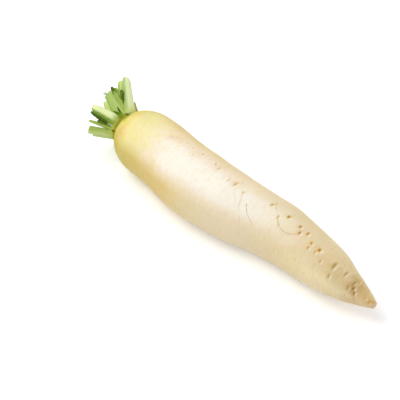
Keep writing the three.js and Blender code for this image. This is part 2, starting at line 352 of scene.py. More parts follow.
        # The scars' halos turn greyer just before the tip.
        halo = coat(add, self.halo, (self.shade, (station, 300, 316), (station, 352, 344)))
        return coat(
            add,
            colour,
            # Fine rings that hold a trace of soil, streaks, and flecks near the thin end.
            (self.crease, (noise["wrinkle"], 0.55, 0.73), (station, 70, 330, 0.14, 0.2)),
            (self.streak, (noise["streak"], 0.5, 0.7), (station, 180, 240, 0.2, 0.1)),
            (self.pale_streak_and_highlight, (noise["streak"], 0.46, 0.3, 0, 0.1)),
            (self.stain, (noise["fleck"], 0.56, 0.74), (station, 215, 350, 0.06, 0.36)),
            # Drawn lines and spots.
            (self.crease, mark["crease"]),
            (self.green, mark["green"]),
            (self.gold, mark["gold"], clouded),
            (self.stain, mark["stain"], clouded),
            # Scars of side roots with a painted highlight on each lip, and painted shade in the crevice
            # under the leaf stalks.
            (self.scar_lip_highlight, mark["rim"]),
            (halo, (mark["scar"], 0.02, 0.4, 0, 0.8)),
            (self.scar, (mark["scar"], 0.2, 0.95)),
            (self.seat, mark["seat"]),
        )

    def build(self) -> bpy.types.Material:
        """Builds the skin's material.

        Returns:
            The material.
        """
        material, add = empty_material("radish_skin")
        skin = add("Attribute", output="Vector", attribute_name="skin")
        station = add("SeparateXYZ", [skin], "X")
        noise = {}
        for pattern in self.patterns:
            place = add("Mapping", {"Vector": skin, "Scale": pattern.scale})
            noise[pattern.name] = add("TexNoise", [place, 1.0, pattern.detail, pattern.roughness])
        colour = self._ground(add, skin, station, noise)
        colour = self._marked(add, station, noise, colour)
        # Growth rings, wrinkles between them, and grain.
        normal = add("Bump", {"Height": noise["ring"], "Distance": self.ring_depth * MM})
        for name, depth in (("wrinkle", self.wrinkle_depth), ("grain", self.grain_depth)):
            normal = add("Bump", {"Height": noise[name], "Distance": depth * MM, "Normal": normal})
        gloss = [noise["mottle"], 0.3, 0.7, self.roughness - 0.05, self.roughness + 0.07]
        finish = {
            "Base Color": colour,
            "Roughness": add("MapRange", gloss, **SMOOTH),
            "IOR": self.ior,
            # The rim under the crown is dry and corky.
            "Specular IOR Level": add("MapRange", [station, 10, 32, 0.12, 0.5], **SMOOTH),
            "Subsurface Weight": 0.12,
            "Subsurface Radius": (1.0, 0.62, 0.3),
            "Subsurface Scale": 3 * MM,
            "Normal": normal,
        }
        add("OutputMaterial", [add("BsdfPrincipled", finish)])
        return material


@dataclass(frozen=True)
class StalkSkin:
    """Leaf stalk skin, grown and cut with a knife: juicy green tissue with strings.

    The strings give fine lines along it, its water lets light through a little, and the cut end is wet and
    pale. It reads the measures strand (around, along and seed), side (-1 to 1 across), share and cut.
    """

    name: str
    # The left, middle and right colours paint light and shade across the stalk.
    left: str
    middle: str
    right: str
    line: str
    foot: str = "bec468"
    dried: str = "98952c"
    # Painted shade at the foot, where the stalks crowd together.
    foot_shade: str = "4a3f08"
    # Partly the margins' own deeper green, partly painted shade along them.
    margin: str = "7f9a34"
    cut: str = "dfe9b8"
    cut_rim: str = "9db464"
    roughness: float = 0.48
    ior: float = 1.4  # mostly water
    left_to: float = 0.0  # where the left colour ends, across
    right_from: float = 0.1
    side_blend: float = 0.7  # how gently it ends
    foot_shade_to: float = 0.11  # share of the length painted dark with shade at the foot
    # Sizes run around the stalk and along it. Strings are 0.3 mm and cells 0.1 mm, too fine to show, so
    # they are drawn 0.5 to 0.8 mm coarse.
    patterns: tuple[Pattern, ...] = (
        Pattern("strings", (0.7, 45, 1), 3, 0.6),
        Pattern("patches", (4, 9, 1), 3, 0.55),
        Pattern("cells", (0.5, 0.8, 1), 2, 0.5),
    )
    string_depth: float = 0.14
    cell_depth: float = 0.03

    def build(self) -> bpy.types.Material:
        """Builds the stalk's material.

        Returns:
            The material.
        """
        material, add = empty_material(self.name)
        strand = add("Attribute", output="Vector", attribute_name="strand")
        names = ("share", "side", "cut")
        share, side, is_cut = (add("Attribute", output="Fac", attribute_name=name) for name in names)
        places = [add("Mapping", {"Vector": strand, "Scale": p.scale}) for p in self.patterns]
        strings, patches, cells = (
            add("TexNoise", [place, 1.0, p.detail, p.roughness]) for place, p in zip(places, self.patterns)
        )
        wander = add("MapRange", [patches, 0.3, 0.7, -0.12, 0.12], **SMOOTH)
        across = add("Math", [side, wander], **SUM)
        margin = add("Math", [side], operation="ABSOLUTE")
        cut_face = coat(add, self.cut_rim, (self.cut, (cells, 0.35, 0.65)))
        colour = coat(
            add,
            self.left,
            # Painted light and shade across the stalk.
            (self.middle, (across, self.left_to - self.side_blend, self.left_to)),
            (self.right, (across, self.right_from, self.right_from + self.side_blend)),
            # Strings run the whole length, darker between and paler on top.
            (self.line, (strings, 0.55, 0.72, 0, 0.55)),
            (self.cut, (strings, 0.44, 0.28, 0, 0.4)),
            (self.line, (patches, 0.55, 0.8, 0, 0.35)),
            (self.cut, (cells, 0.56, 0.7, 0, 0.12)),
            # The margins are thin and a deeper green, partly their own and partly painted shade along the
            # edges;
            # the foot pales, then turns olive where it dried, and is painted dark with shade where the
            # stalks crowd.
            (self.margin, (margin, 0.86, 0.98, 0, 0.5)),
            (self.foot, (share, 0.42, 0.18, 0, 0.8)),
            (self.dried, (share, 0.22, 0.1, 0, 0.7)),
            (self.foot_shade, (share, self.foot_shade_to, self.foot_shade_to * 0.6, 0, 0.85)),
            (cut_face, is_cut),
        )
        normal = add("Bump", {"Height": strings, "Distance": self.string_depth * MM})
        normal = add("Bump", {"Height": cells, "Distance": self.cell_depth * MM, "Normal": normal})
        finish = {
            "Base Color": colour,
            "Roughness": self.roughness,
            "IOR": self.ior,
            "Specular IOR Level": 0.3,  # fine hairs dull the gloss
            "Subsurface Weight": 0.12,
            "Subsurface Radius": (0.7, 1.0, 0.25),
            "Subsurface Scale": 2 * MM,
            "Normal": normal,
        }
        add("OutputMaterial", [add("BsdfPrincipled", finish)])
        return material


@dataclass(frozen=True)
class LeafBlade:
    """Leaf blade, grown thin and torn by hand: waxy and matt, with paler veins and a bruised edge.

    It reads the measures strand (across, along and seed) and share, from 0 to 1 at the torn edge.
    """

    name: str = "leaf_blade"
    green: str = "6e9112"
    pale: str = "86a428"
    torn: str = "303f04"
    veins: Pattern = Pattern("veins", (3.5, 1.3, 1), 3, 0.6)
    vein_depth: float = 0.3
    roughness: float = 0.6
    ior: float = 1.42

    def build(self) -> bpy.types.Material:
        """Builds the leaf's material.

        Returns:
            The material.
        """
        material, add = empty_material(self.name)
        strand = add("Attribute", output="Vector", attribute_name="strand")
        edge = add("Attribute", output="Fac", attribute_name="share")
        place = add("Mapping", {"Vector": strand, "Scale": self.veins.scale})
        veins = add("TexNoise", [place, 1.0, self.veins.detail, self.veins.roughness])
        finish = {
            "Base Color": coat(
                add,
                self.green,
                (self.pale, (veins, 0.52, 0.72)),
                (self.torn, (edge, 0.55, 1.0, 0, 0.8)),
            ),
            "Roughness": self.roughness,
            "IOR": self.ior,
            "Specular IOR Level": 0.12,
            "Normal": add("Bump", {"Height": veins, "Distance": self.vein_depth * MM}),
        }
        add("OutputMaterial", [add("BsdfPrincipled", finish)])
        return material


@dataclass(frozen=True)
class CrownTissue:
    """Stem tissue, scaly with packed leaf bases: olive and pale, dried dark where old leaves broke away,
    and painted dark as shade between the stalks' feet.

    The scales give a rough matt surface. It reads the measures strand (around and along), share (0 at the
    root, 1 at the top) and the dark arcs: dried leaf bases, and painted shade between the stalks' feet.
    """

    olive: str = "979522"
    young: str = "a9b142"
    dark: str = "46480c"
    pale: str = "c4bf6a"
    scales: Pattern = Pattern("scales", (2.2, 4.5, 1), 3, 0.6)
    scale_depth: float = 0.5
    roughness: float = 0.7
    ior: float = 1.4

    def build(self) -> bpy.types.Material:
        """Builds the crown's material.

        Returns:
            The material.
        """
        material, add = empty_material("crown_tissue")
        strand = add("Attribute", output="Vector", attribute_name="strand")
        place = add("Mapping", {"Vector": strand, "Scale": self.scales.scale})
        scales = add("TexNoise", [place, 1.0, self.scales.detail, self.scales.roughness])
        clouded = []
        for name, reach in (("share", 0.15), ("dry_and_shade", 0.25)):
            held = add("Attribute", output="Fac", attribute_name=name)
            wander = add("MapRange", [scales, 0.3, 0.7, -reach, reach], **SMOOTH)
            clouded.append(add("Math", [held, wander], **SUM))
        share, dry_and_shade = clouded
        finish = {
            "Base Color": coat(
                add,
                self.olive,
                (self.young, (share, 0.15, 0.7)),
                (self.pale, (scales, 0.54, 0.68, 0, 0.6)),
                (self.dark, (scales, 0.44, 0.32, 0, 0.3)),
                # Dark where old leaves broke away, and painted shade between the stalks' feet.
                (self.dark, (dry_and_shade, 0.2, 0.7, 0, 0.9)),
            ),
            "Roughness": self.roughness,
            "IOR": self.ior,
            "Specular IOR Level": 0.25,
            "Normal": add("Bump", {"Height": scales, "Distance": self.scale_depth * MM}),
        }
        add("OutputMaterial", [add("BsdfPrincipled", finish)])
        return material


@dataclass(frozen=True)
class DryFibre:
    """Dried plant fibre, thin side roots and torn strings: matt, and a little darker in patches."""

    name: str
    light: str
    dark: str
    patches: Pattern = Pattern("patches", (2, 3, 1), 2, 0.5)
    patch_depth: float = 0.1
    roughness: float = 0.7
    ior: float = 1.4

    def build(self) -> bpy.types.Material:
        """Builds the fibre's material.

        Returns:
            The material.
        """
        material, add = empty_material(self.name)
        strand = add("Attribute", output="Vector", attribute_name="strand")
        place = add("Mapping", {"Vector": strand, "Scale": self.patches.scale})
        patches = add("TexNoise", [place, 1.0, self.patches.detail, self.patches.roughness])
        finish = {
            "Base Color": coat(add, self.light, (self.dark, (patches, 0.35, 0.7))),
            "Roughness": self.roughness,
            "IOR": self.ior,
            "Normal": add("Bump", {"Height": patches, "Distance": self.patch_depth * MM}),
        }
        add("OutputMaterial", [add("BsdfPrincipled", finish)])
        return material


class StalkTone(Enum):
    """The look of a leaf stalk, from its left margin to its right one, with light and shade painted across
    it.
    """

    PALE = StalkSkin(
        "stalk_pale", "d0e39a", "eef6c4", "bec964", "a4bd5c", "ccd47c",
        left_to=-0.4, right_from=0.3, foot_shade_to=0.17,
    )  # fmt: skip
    LIT = StalkSkin(
        "stalk_lit", "6e9016", "e6f1ae", "f0f8be", "a8c262", "98a43c", cut_rim="3f4c08", left_to=-0.02
    )
    FRESH = StalkSkin("stalk_fresh", "a8c460", "bdd47a", "cde084", "8dab44", right_from=0.3)
    YELLOW = StalkSkin("stalk_yellow", "d2e386", "e0ef9c", "b0cc5c", "93b23e")
    GREY = StalkSkin("stalk_grey", "aebc5e", "ccdb8c", "a4b752", "8ea648", "b2ba58", left_to=-0.3)
    BAND = StalkSkin("stalk_band", "86a81a", "c6d498", "98b050", "6f9024", left_to=0.15, right_from=0.5)
    STRAP = StalkSkin("stalk_strap", "a4b83a", "b4c64c", "9db052", "7f9a34")
    LIP = StalkSkin("stalk_lip", "9cb542", "aec65c", "cfe284", "8aa83a")
    DRY = StalkSkin("stalk_base", "b4ab3c", "c6bd48", "a8983c", "8c7c2c", foot="c2a850", margin="b4a44c")


# ---------------------------------------------------------------- meshes


def smooth_through(pairs: Sequence[tuple[float, float]]) -> Callable[[Array], Array]:
    """Makes the same smooth curve through [x, y] pairs as the solids use.

    Args:
        pairs: Points in rising x.

    Returns:
        A function from x to y, for arrays.
    """
    x, y = np.array(pairs, float).T
    last = len(x) - 1
    before, after = np.maximum(np.arange(last + 1) - 1, 0), np.minimum(np.arange(last + 1) + 1, last)
    slope = (y[after] - y[before]) / (x[after] - x[before])

    def curve(at: Array) -> Array:
        """Evaluates the curve.

        Args:
            at: Values of x.

        Returns:
            Values of y.
        """
        at = np.asarray(at, float)
        i = np.clip(np.searchsorted(x, at) - 1, 0, last - 1)
        run = x[i + 1] - x[i]
        t = (at - x[i]) / run
        start = (1 + 2 * t) * (1 - t) ** 2 * y[i] + t * (1 - t) ** 2 * run * slope[i]
        end = t * t * (3 - 2 * t) * y[i + 1] - t * t * (1 - t) * run * slope[i + 1]
        return start + end

    return curve


def outward(angle: Array | float) -> Array:
    """Gives the unit vector away from the root's axis at an angle in degrees."""
    turn = np.radians(np.asarray(angle, float))
    return np.stack([np.zeros_like(turn), np.cos(turn), np.sin(turn)], -1)


def even(values: Sequence[float], at: Array) -> Array:
    """Reads a smooth curve through evenly spaced values at shares of its length."""
    return smooth_through(list(zip(np.linspace(0, 1, len(values)), values)))(at)


def unit(vectors: Array) -> Array:
    """Scales vectors to length 1."""
    return vectors / np.linalg.norm(vectors, axis=-1, keepdims=True)


@dataclass
class Shell:
    """A closed surface through rings of points, with the measures its material reads."""

    rings: Array  # (ring, point, xyz) in millimetres
    measures: dict[str, Array] = field(default_factory=dict)  # each (ring, point) or (ring, point, 3)

    def with_hubs(self, values: Array) -> Array:
        """Flattens ring values and adds the mean of the first and of the last ring.

        Args:
            values: Values for each ring and point.

        Returns:
            One row for each point, and two for the middles of the ends.
        """
        values = np.asarray(values, float)
        flat = values.reshape(-1, *values.shape[2:])
        hubs = np.stack([values[0].mean(0), values[-1].mean(0)])
        return np.concatenate([flat, hubs])

    def faces(self) -> list[tuple[int, ...]]:
        """Lists the quads between rings and the fan over each end.

        Returns:
            Corner numbers of each face.
        """
        rows, count = self.rings.shape[:2]
        row, col = np.meshgrid(np.arange(rows - 1), np.arange(count), indexing="ij")
        a, b = row * count + col, row * count + (col + 1) % count
        quads = np.stack([a, a + count, b + count, b], -1).reshape(-1, 4)
        rim, following = np.arange(count), (np.arange(count) + 1) % count
        hub, top = rows * count, (rows - 1) * count
        first = np.stack([np.full(count, hub), rim, following], -1)
        last = np.stack([np.full(count, hub + 1), top + following, top + rim], -1)
        return [tuple(f) for f in (*quads.tolist(), *first.tolist(), *last.tolist())]


@dataclass
class Piece:
    """One visible piece, made of shells, that takes a finish and rides on the root."""

    name: str
    shells: Sequence[Shell]
    slot: Slot
    replaced: tuple[str, ...] = ()

    def make(self, material: bpy.types.Material) -> bpy.types.Object:
        """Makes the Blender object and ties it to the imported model.

        Args:
            material: The piece's finish.

        Returns:
            The new object.
        """
        points, faces, start = [], [], 0
        for shell in self.shells:
            held = shell.with_hubs(shell.rings) * MM
            faces += [tuple(start + corner for corner in face) for face in shell.faces()]
            points.append(held)
            start += len(held)
        mesh = bpy.data.meshes.new(self.name)
        mesh.from_pydata(np.concatenate(points).tolist(), [], faces)
        for name in self.shells[0].measures:
            held = np.concatenate([shell.with_hubs(shell.measures[name]) for shell in self.shells])
            kind, key = ("FLOAT_VECTOR", "vector") if held.ndim == 2 else ("FLOAT", "value")
            mesh.attributes.new(name, kind, "POINT").data.foreach_set(key, held.astype(np.float32).ravel())
        mesh.polygons.foreach_set("use_smooth", np.ones(len(mesh.polygons), bool))
        mesh.materials.append(material)
        mesh.update()
        piece = bpy.data.objects.new(self.name, mesh)
        bpy.context.scene.collection.objects.link(piece)
        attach(piece, "root")
        if self.replaced:
            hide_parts(*self.replaced)
        stands_for = ", ".join(self.replaced) or "nothing"
        LOG.info("%s: %d faces, stands for %s", self.name, len(mesh.polygons), stands_for)
        return piece


# ---------------------------------------------------------------- the root


@dataclass(frozen=True)
class Scar:
    """The mark of a side root: a shallow dent with a brown middle and a raised lip towards the tip."""

    station: float
    angle: float
    brown: float
    across: float = 1.6  # half width round the root
    along: float = 0.9
    depth: float = 0.35
    tilt: float = 0.0  # degrees from the ring direction


@dataclass(frozen=True)
class Patch:
    """A soft spot of colour on the skin, without relief."""

    kind: str  # the measure that it goes into: seat, green, gold or stain
    station: float
    angle: float
    strength: float
    along: float  # half its length, in mm
    across: float  # half its width round the root, in mm


@dataclass(frozen=True)
class Crease:
    """A fine line in the skin, through stations and angles.

    Real ones are hairlines, too fine to show, so they are drawn about 1 mm wide.
    """

    strength: float
    route: tuple[tuple[float, float], ...]
    width: float = 0.55  # half of it


@dataclass
class Root:
    """The white root, from the seat of the crown to the blunt tip."""

    length: float = 358.5
    shoulder_length: float = 45.0
    shoulder_radius: float = 35.1
    shoulder_exponent: float = 2.04
    seat_radius: float = 15.0
    rest_station: float = 140.0
    belly_flat_depth: float = 0.7
    tip_rise: float = 16.0
    rise_exponent: float = 2.5
    rise_share: float = 0.62
    rings: int = 470
    sides: int = 208
    inset: float = 0.1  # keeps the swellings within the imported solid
    # Painted shade along the crevice under the crown.
    crevice_shade_width: float = 0.9
    crevice_shade_strength: float = 0.8
    lip_at: float = 1.9  # from a scar's middle, in lengths of the scar
    lip_height: float = 0.5  # as a share of the scar's depth
    dent_depth: float = 0.45
    # Growth swellings: height, length, sway, how many round the root, phase.
    swellings: tuple[tuple[float, ...], ...] = ((0.12, 5.3, 0.9, 2, 0.0), (0.10, 9.1, 1.0, 3, 1.0))
    tip_rings: tuple[tuple[float, float], ...] = ((0.92, 0.0), (0.6, -0.15), (0.3, -0.35))
    outline: tuple[tuple[float, float], ...] = (
        (45, 35.1), (72, 35.2), (97, 35.6), (123, 36), (154, 35.3), (183, 33.7), (212, 31.2),
        (240, 29), (266, 26.6), (291, 24.2), (313, 20.4), (330, 15), (345, 9.4), (354, 5.6),
        (358.5, 3.4),
    )  # fmt: skip
    bow: tuple[tuple[float, float], ...] = (
        (0, 3.2), (60, 1.9), (120, -7.2), (180, -5.9), (240, 4.3), (300, 1.4), (330, 0),
        (358.5, 1.6),
    )  # fmt: skip
    scars: tuple[Scar, ...] = (
        Scar(87, 102, 0.18),
        Scar(90, 90, 0.24, 2.2, tilt=20),
        Scar(109, 84, 0.2),
        Scar(120, 83, 0.26, 2.2, tilt=25),
        Scar(129, 97, 0.24, 2.0),
        Scar(134.5, 82, 0.34, 2.0, tilt=30),
        Scar(146, 82, 0.15),
        Scar(154, 84, 0.34, 2.4, tilt=30),
        Scar(161.5, 89, 0.34, 2.8),
        Scar(178, 92, 0.25, 1.2),
        Scar(179.5, 98, 0.3, 2.6),
        Scar(187.6, 97, 0.38, 3.2, 1.2),
        Scar(190, 85, 0.2),
        Scar(199.6, 104, 0.34, 1.9),
        Scar(201, 113, 0.15),
        Scar(206, 128, 0.15, 3.0, 0.6),
        Scar(228, 95, 0.5, 2.0, 1.2),
        Scar(230, 89, 0.3, 2.4),
        Scar(242, 110, 0.35, 2.0, 1.0),
        Scar(248, 122, 0.2, 2.4),
        Scar(249, 96, 0.7, 1.7, 1.3, 0.5),
        Scar(251, 92, 0.3, 2.4, 0.7),
        Scar(264.5, 96, 0.75, 1.5, 1.3, 0.5),
        Scar(269, 108, 0.75, 1.9, 1.2, 0.5),
        Scar(275.5, 97, 0.7, 2.0, 1.2, 0.5),
        Scar(271, 159, 0.15),
        Scar(281, 157, 0.2, 2.2),
        Scar(285.5, 109, 0.65, 1.6, 1.3, 0.5),
        Scar(286, 121, 0.6, 1.8, 1.1, 0.5),
        Scar(294, 118, 0.5, 1.8, 1.0, 0.5),
        Scar(296, 109, 0.95, 1.7, 1.5, 0.6),
        Scar(303.5, 128, 0.5, 1.7, 0.9, 0.5),
        Scar(316, 114, 0.5, 3.6, 1.4, 1.9),
        Scar(317, 145, 0.4, 2.2, 1.1, 1.2),
        Scar(327.5, 104, 0.42, 3.0, 0.9, 1.4),
        Scar(335.5, 138, 0.5, 1.9, 0.8, 0.6),
        Scar(337.5, 109, 0.55, 3.0, 0.8, 0.6),
        Scar(339.5, 127, 1.0, 1.9, 1.0, 0.8),
        Scar(342, 143, 0.75, 1.8, 0.8, 0.6),
        Scar(351, 131, 0.35, 1.2, 0.9, 0.3),
        Scar(355, 141, 0.5, 1.2, 0.9, 0.3),
        Scar(357, 128, 0.3, 1.0, 0.8, 0.2),
    )
    patches: tuple[Patch, ...] = (
        # The seat spot is painted shade in the crevice under the stalks.
        Patch("seat", 16.2, 102, 0.95, 2.0, 3.2),
        # Green spots by the crown, 92 to 136 degrees: the shoulder's own green, partly painted shade of the
        # neck.
        Patch("green", 14, 114, 0.5, 3, 5),
        Patch("green", 14, 126, 0.5, 2, 4),
        Patch("green", 9, 110, 0.75, 9, 3.5),
        Patch("green", 12, 92, 0.7, 8, 4),
        Patch("green", 7, 136, 0.4, 8, 4),
        Patch("green", 40, 86, 0.1, 9, 14),
        Patch("green", 10, 200, 0.35, 14, 6),
        Patch("green", 10, 300, 0.35, 14, 6),
        Patch("gold", 23, 146, 0.5, 6, 7),
        Patch("gold", 30, 132, 0.2, 5, 8),
        Patch("gold", 32, 148, 0.32, 6, 7),
        Patch("gold", 89, 93, 0.3, 3, 3),
        Patch("gold", 96, 86, 0.25, 4, 2.5),
        Patch("gold", 103, 91, 0.2, 3, 3),
        Patch("gold", 86, 104, 0.1, 3, 4),
        Patch("gold", 130, 90, 0.1, 5, 6),
        Patch("gold", 158, 87, 0.22, 4, 5),
        Patch("gold", 186, 97, 0.28, 5, 4),
        Patch("gold", 27, 92, 0.3, 4, 9),
        Patch("gold", 20, 168, 0.4, 5, 6),
        Patch("gold", 24, 215, 0.4, 7, 9),
        Patch("gold", 28, 300, 0.4, 7, 9),
        Patch("stain", 92, 96, 0.10, 6, 4),
        Patch("stain", 190, 92, 0.10, 5, 4),
        Patch("stain", 230, 88, 0.16, 4, 4),
        Patch("stain", 252, 84, 0.12, 4, 4),
        Patch("stain", 268, 101, 0.14, 5, 5),
        Patch("stain", 291, 112, 0.16, 8, 6),
        Patch("stain", 305, 125, 0.22, 9, 8),
        Patch("stain", 318, 127, 0.2, 6, 6),
        Patch("stain", 276, 130, 0.12, 10, 10),
        Patch("stain", 338, 138, 0.4, 7, 4),
        Patch("stain", 341, 124, 0.4, 7, 3.5),
        Patch("stain", 357.5, 118, 0.85, 7, 2.5),
        Patch("stain", 341, 112, 0.35, 5, 5),
        Patch("stain", 346, 92, 0.45, 5, 4),
        Patch("stain", 354, 150, 0.5, 3, 3),
        Patch("stain", 355, 250, 0.5, 4, 4),
        Patch("stain", 344, 300, 0.4, 7, 5),
        Patch("stain", 330, 215, 0.25, 8, 5),
    )
    creases: tuple[Crease, ...] = (
        Crease(0.5, ((196, 100), (200, 105), (203, 117), (205, 128), (209, 139))),
        Crease(0.3, ((191, 104), (194, 113), (199, 122), (203, 136))),
        Crease(0.4, ((228, 84), (231, 92), (236, 100), (240, 107))),
        Crease(0.4, ((240, 105), (244, 114), (247, 122), (249, 128))),
        Crease(0.3, ((242, 126), (244, 140), (245, 150))),
        Crease(0.35, ((210, 142), (213, 152), (213, 165))),
        Crease(0.25, ((160, 60), (163, 72), (165, 82))),
        Crease(0.25, ((172, 62), (175, 73), (176, 84))),
        Crease(0.25, ((117, 88), (119, 97), (118, 110))),
        Crease(0.5, ((83, 88), (87, 93), (88, 101))),
        Crease(0.5, ((92, 80), (93, 88), (97, 95))),
        Crease(0.4, ((98, 78), (101, 86), (102, 96))),
        Crease(0.35, ((107, 76), (110, 84), (110, 94))),
        Crease(0.25, ((134, 90), (133, 102), (134, 114))),
        Crease(0.3, ((152, 88), (154, 102), (153, 116))),
        Crease(0.3, ((160, 92), (163, 106), (164, 120))),
        Crease(0.3, ((284, 122), (286, 133), (286, 146))),
        Crease(0.35, ((315, 66), (317, 80), (318, 94))),
        Crease(0.4, ((322, 100), (324, 118), (323, 135))),
        Crease(0.4, ((330, 130), (332, 148), (331, 165))),
        Crease(0.3, ((300, 150), (303, 166), (302, 182))),
        Crease(0.3, ((262, 150), (264, 164), (263, 178))),
    )

    def __post_init__(self) -> None:
        """Prepares the smooth outlines."""
        self._body = smooth_through(self.outline)
        self._bow = smooth_through(self.bow)

    def radius(self, station: Array) -> Array:
        """Gives the root's radius.

        Args:
            station: Stations.

        Returns:
            The radius at each.
        """
        station = np.asarray(station, float)
        share = np.clip(1 - station / self.shoulder_length, 0, 1)
        rounded = (1 - share**self.shoulder_exponent) ** (1 / self.shoulder_exponent)
        body = self._body(np.maximum(station, self.shoulder_length))
        return np.where(station < self.shoulder_length, self.shoulder_radius * rounded, body)

    def centre(self, station: Array) -> Array:
        """Gives points on the root's centre line.

        Args:
            station: Stations.

        Returns:
            A point for each.
        """
        station = np.asarray(station, float)
        start = self.rise_share * self.length
        rise = np.maximum(0, (station - start) / (self.length - start))
        girth = self._body(np.maximum(station, self.shoulder_length))
        height = girth - self.belly_flat_depth + self.tip_rise * rise**self.rise_exponent
        sideways = self._bow(station) - self._bow(self.rest_station)
        return np.stack([station - self.rest_station, sideways, height], -1)

    def on_skin(self, station: Array, angle: Array, lift: Array | float = 0.0) -> Array:
        """Gives points on the skin, or a lift outside it."""
        reach = self.radius(station) + lift
        return self.centre(station) + outward(angle) * reach[..., None]

    @property
    def seat_station(self) -> float:
        """The station of the flat seat under the crown.

        Returns:
            The station.
        """
        share = self.seat_radius / self.shoulder_radius
        rounded = (1 - share**self.shoulder_exponent) ** (1 / self.shoulder_exponent)
        return self.shoulder_length * (1 - rounded)

    def _stations(self) -> Array:
        """Spaces the rings closely over the shoulder and the tip.

        Returns:
            The station of each ring.
        """
        along = np.linspace(self.seat_station, self.length, 4000)
        slope = np.gradient(self.radius(along), along)
        steps = np.cumsum(np.sqrt(1 + slope**2))
        return np.interp(np.linspace(steps[0], steps[-1], self.rings), steps, along)

    def _hidden_scars(self) -> list[Scar]:
        """Repeats the row of scars on the opposite side, where a radish has its second row.

        Returns:
            The scars of that row.
        """
        rng = np.random.default_rng(7)
        made = []
        for scar in self.scars:
            shift, turn, tone = rng.normal(0, 6), rng.normal(0, 9), rng.uniform(0.6, 1.1)
            station = float(np.clip(scar.station + shift, 80, 352))
            brown = min(0.8, scar.brown * tone)
            angle = scar.angle + 180 + turn
            made.append(Scar(station, angle, brown, scar.across, scar.along, scar.depth))
        return made

    def _painted(self, kind: str, station: Array, angle: Array) -> Array:
        """Works out where the spots of one kind lie.

        Args:
            kind: The kind.
            station: Stations of the grid.
            angle: Angles of the grid.

        Returns:
            The strength of the colour on the grid.
        """
        amount, reach = np.zeros_like(station), self.radius(station)
        for patch in (p for p in self.patches if p.kind == kind):
            away = (angle - patch.angle + 180) % 360 - 180
            u = np.radians(away) * reach / patch.across
            v = (station - patch.station) / patch.along
            amount = 1 - (1 - amount) * (1 - patch.strength * np.exp(-(u**2) - v**2))
        return amount

    def _lined(self, station: Array, angle: Array) -> Array:
        """Works out where the fine lines lie.

        Args:
            station: Stations of the grid.
            angle: Angles of the grid.

        Returns:
            The strength of the lines on the grid, which fades at both ends of each.
        """
        amount, reach = np.zeros_like(station), self.radius(station)
        shares = np.linspace(0, 1, 60)
        fades = 0.7 * np.sin(math.pi * (0.08 + 0.9 * shares)) ** 0.4
        for crease in self.creases:
            along, turn = (even(held, shares) for held in np.array(crease.route, float).T)
            for at, where, fade in zip(along, turn, fades):
                near = np.abs(station[:, 0] - at) < 3
                round_mm = np.radians(angle[near] - where) * reach[near]
                gap = (round_mm**2 + (station[near] - at) ** 2) / crease.width**2
                amount[near] = np.maximum(amount[near], fade * crease.strength * np.exp(-gap))
        return amount

    def _relief(self, station: Array, angle: Array) -> tuple[Array, Array, Array]:
        """Works out dents and browning from all scars.

        Args:
            station: Stations of the grid.
            angle: Angles of the grid.

        Returns:
            Height in millimetres, browning, and the painted highlight on the lip, each on the grid.
        """
        height, brown, rim = (np.zeros_like(station) for _ in range(3))
        reach = self.radius(station)
        for scar in (*self.scars, *self._hidden_scars()):
            away = (angle - scar.angle + 180) % 360 - 180
            round_mm, along_mm = np.radians(away) * reach, station - scar.station
            turn = math.radians(scar.tilt)
            u = (round_mm * math.cos(turn) + along_mm * math.sin(turn)) / scar.across
            v = (along_mm * math.cos(turn) - round_mm * math.sin(turn)) / scar.along
            dent = np.exp(-(u**2) - v**2)
            lip = np.exp(-(u**2) - (v - self.lip_at) ** 2)
            height += scar.depth * (self.lip_height * lip - self.dent_depth * dent)
            # A brown middle, a wider faint halo that trails towards the crown, and a painted highlight on
            # the lip towards the tip.
            core = min(0.96, 1.15 * scar.brown) * np.exp(-((u / 1.2) ** 2) - (v / 1.1) ** 2)
            halo = 0.28 * scar.brown * np.exp(-((u / 2.1) ** 2) - ((v + 0.4) / 2.3) ** 2)
            pale = 0.85 * math.sqrt(scar.brown) * np.exp(-((u / 1.1) ** 2) - ((v - 2.1) / 0.9) ** 2)
            brown = np.maximum(brown, np.maximum(core, halo))
            rim = np.maximum(rim, pale)
        return height, brown, rim

    def build(self, finish: RadishSkin) -> bpy.types.Object:
        """Builds and dresses the root.

        Args:
            finish: The skin.

        Returns:
            The root's object.
        """
        angles = np.arange(self.sides) * 360 / self.sides - 90
        station, angle = np.meshgrid(self._stations(), angles, indexing="ij")
        height, brown, rim = self._relief(station, angle)
        swell = np.zeros_like(station)
        for rise, pitch, sway, count, phase in self.swellings:
            swell += rise * np.sin(station / pitch + sway * np.sin(np.radians(count * angle) + phase))
        # The swellings fade out at the shoulder and at the tip.
        swell *= np.clip((station - 50) / 40, 0, 1) * np.clip((self.length - station) / 30, 0, 1)
        rings = self.on_skin(station, angle, height + swell - self.inset)
        rings[..., 2] = np.maximum(rings[..., 2], 0.0)
        # Painted shade in the crevice under the crown.
        crevice_shade = self.crevice_shade_strength * np.clip(1 - (station - self.seat_station) / self.crevice_shade_width, 0, 1)
        straight = outward(angle) * self.radius(station)[..., None]
        straight[..., 0] += station
        measures = {
            "skin": straight,
            "scar": brown,
            "rim": rim,
            "gold": self._painted("gold", station, angle),
            "green": self._painted("green", station, angle),
            "stain": self._painted("stain", station, angle),
            "crease": self._lined(station, angle),
            "seat": np.maximum(crevice_shade, self._painted("seat", station, angle)),
        }
        end = self._cut_tip(angles)
        rings = np.concatenate([rings, end])
        measures = {k: np.concatenate([v, np.repeat(v[-1:], len(end), 0)]) for k, v in measures.items()}
        skin = Piece("radish_root", [Shell(rings, measures)], Slot.ROOT_SKIN, ("root",))
        return skin.make(finish.build())

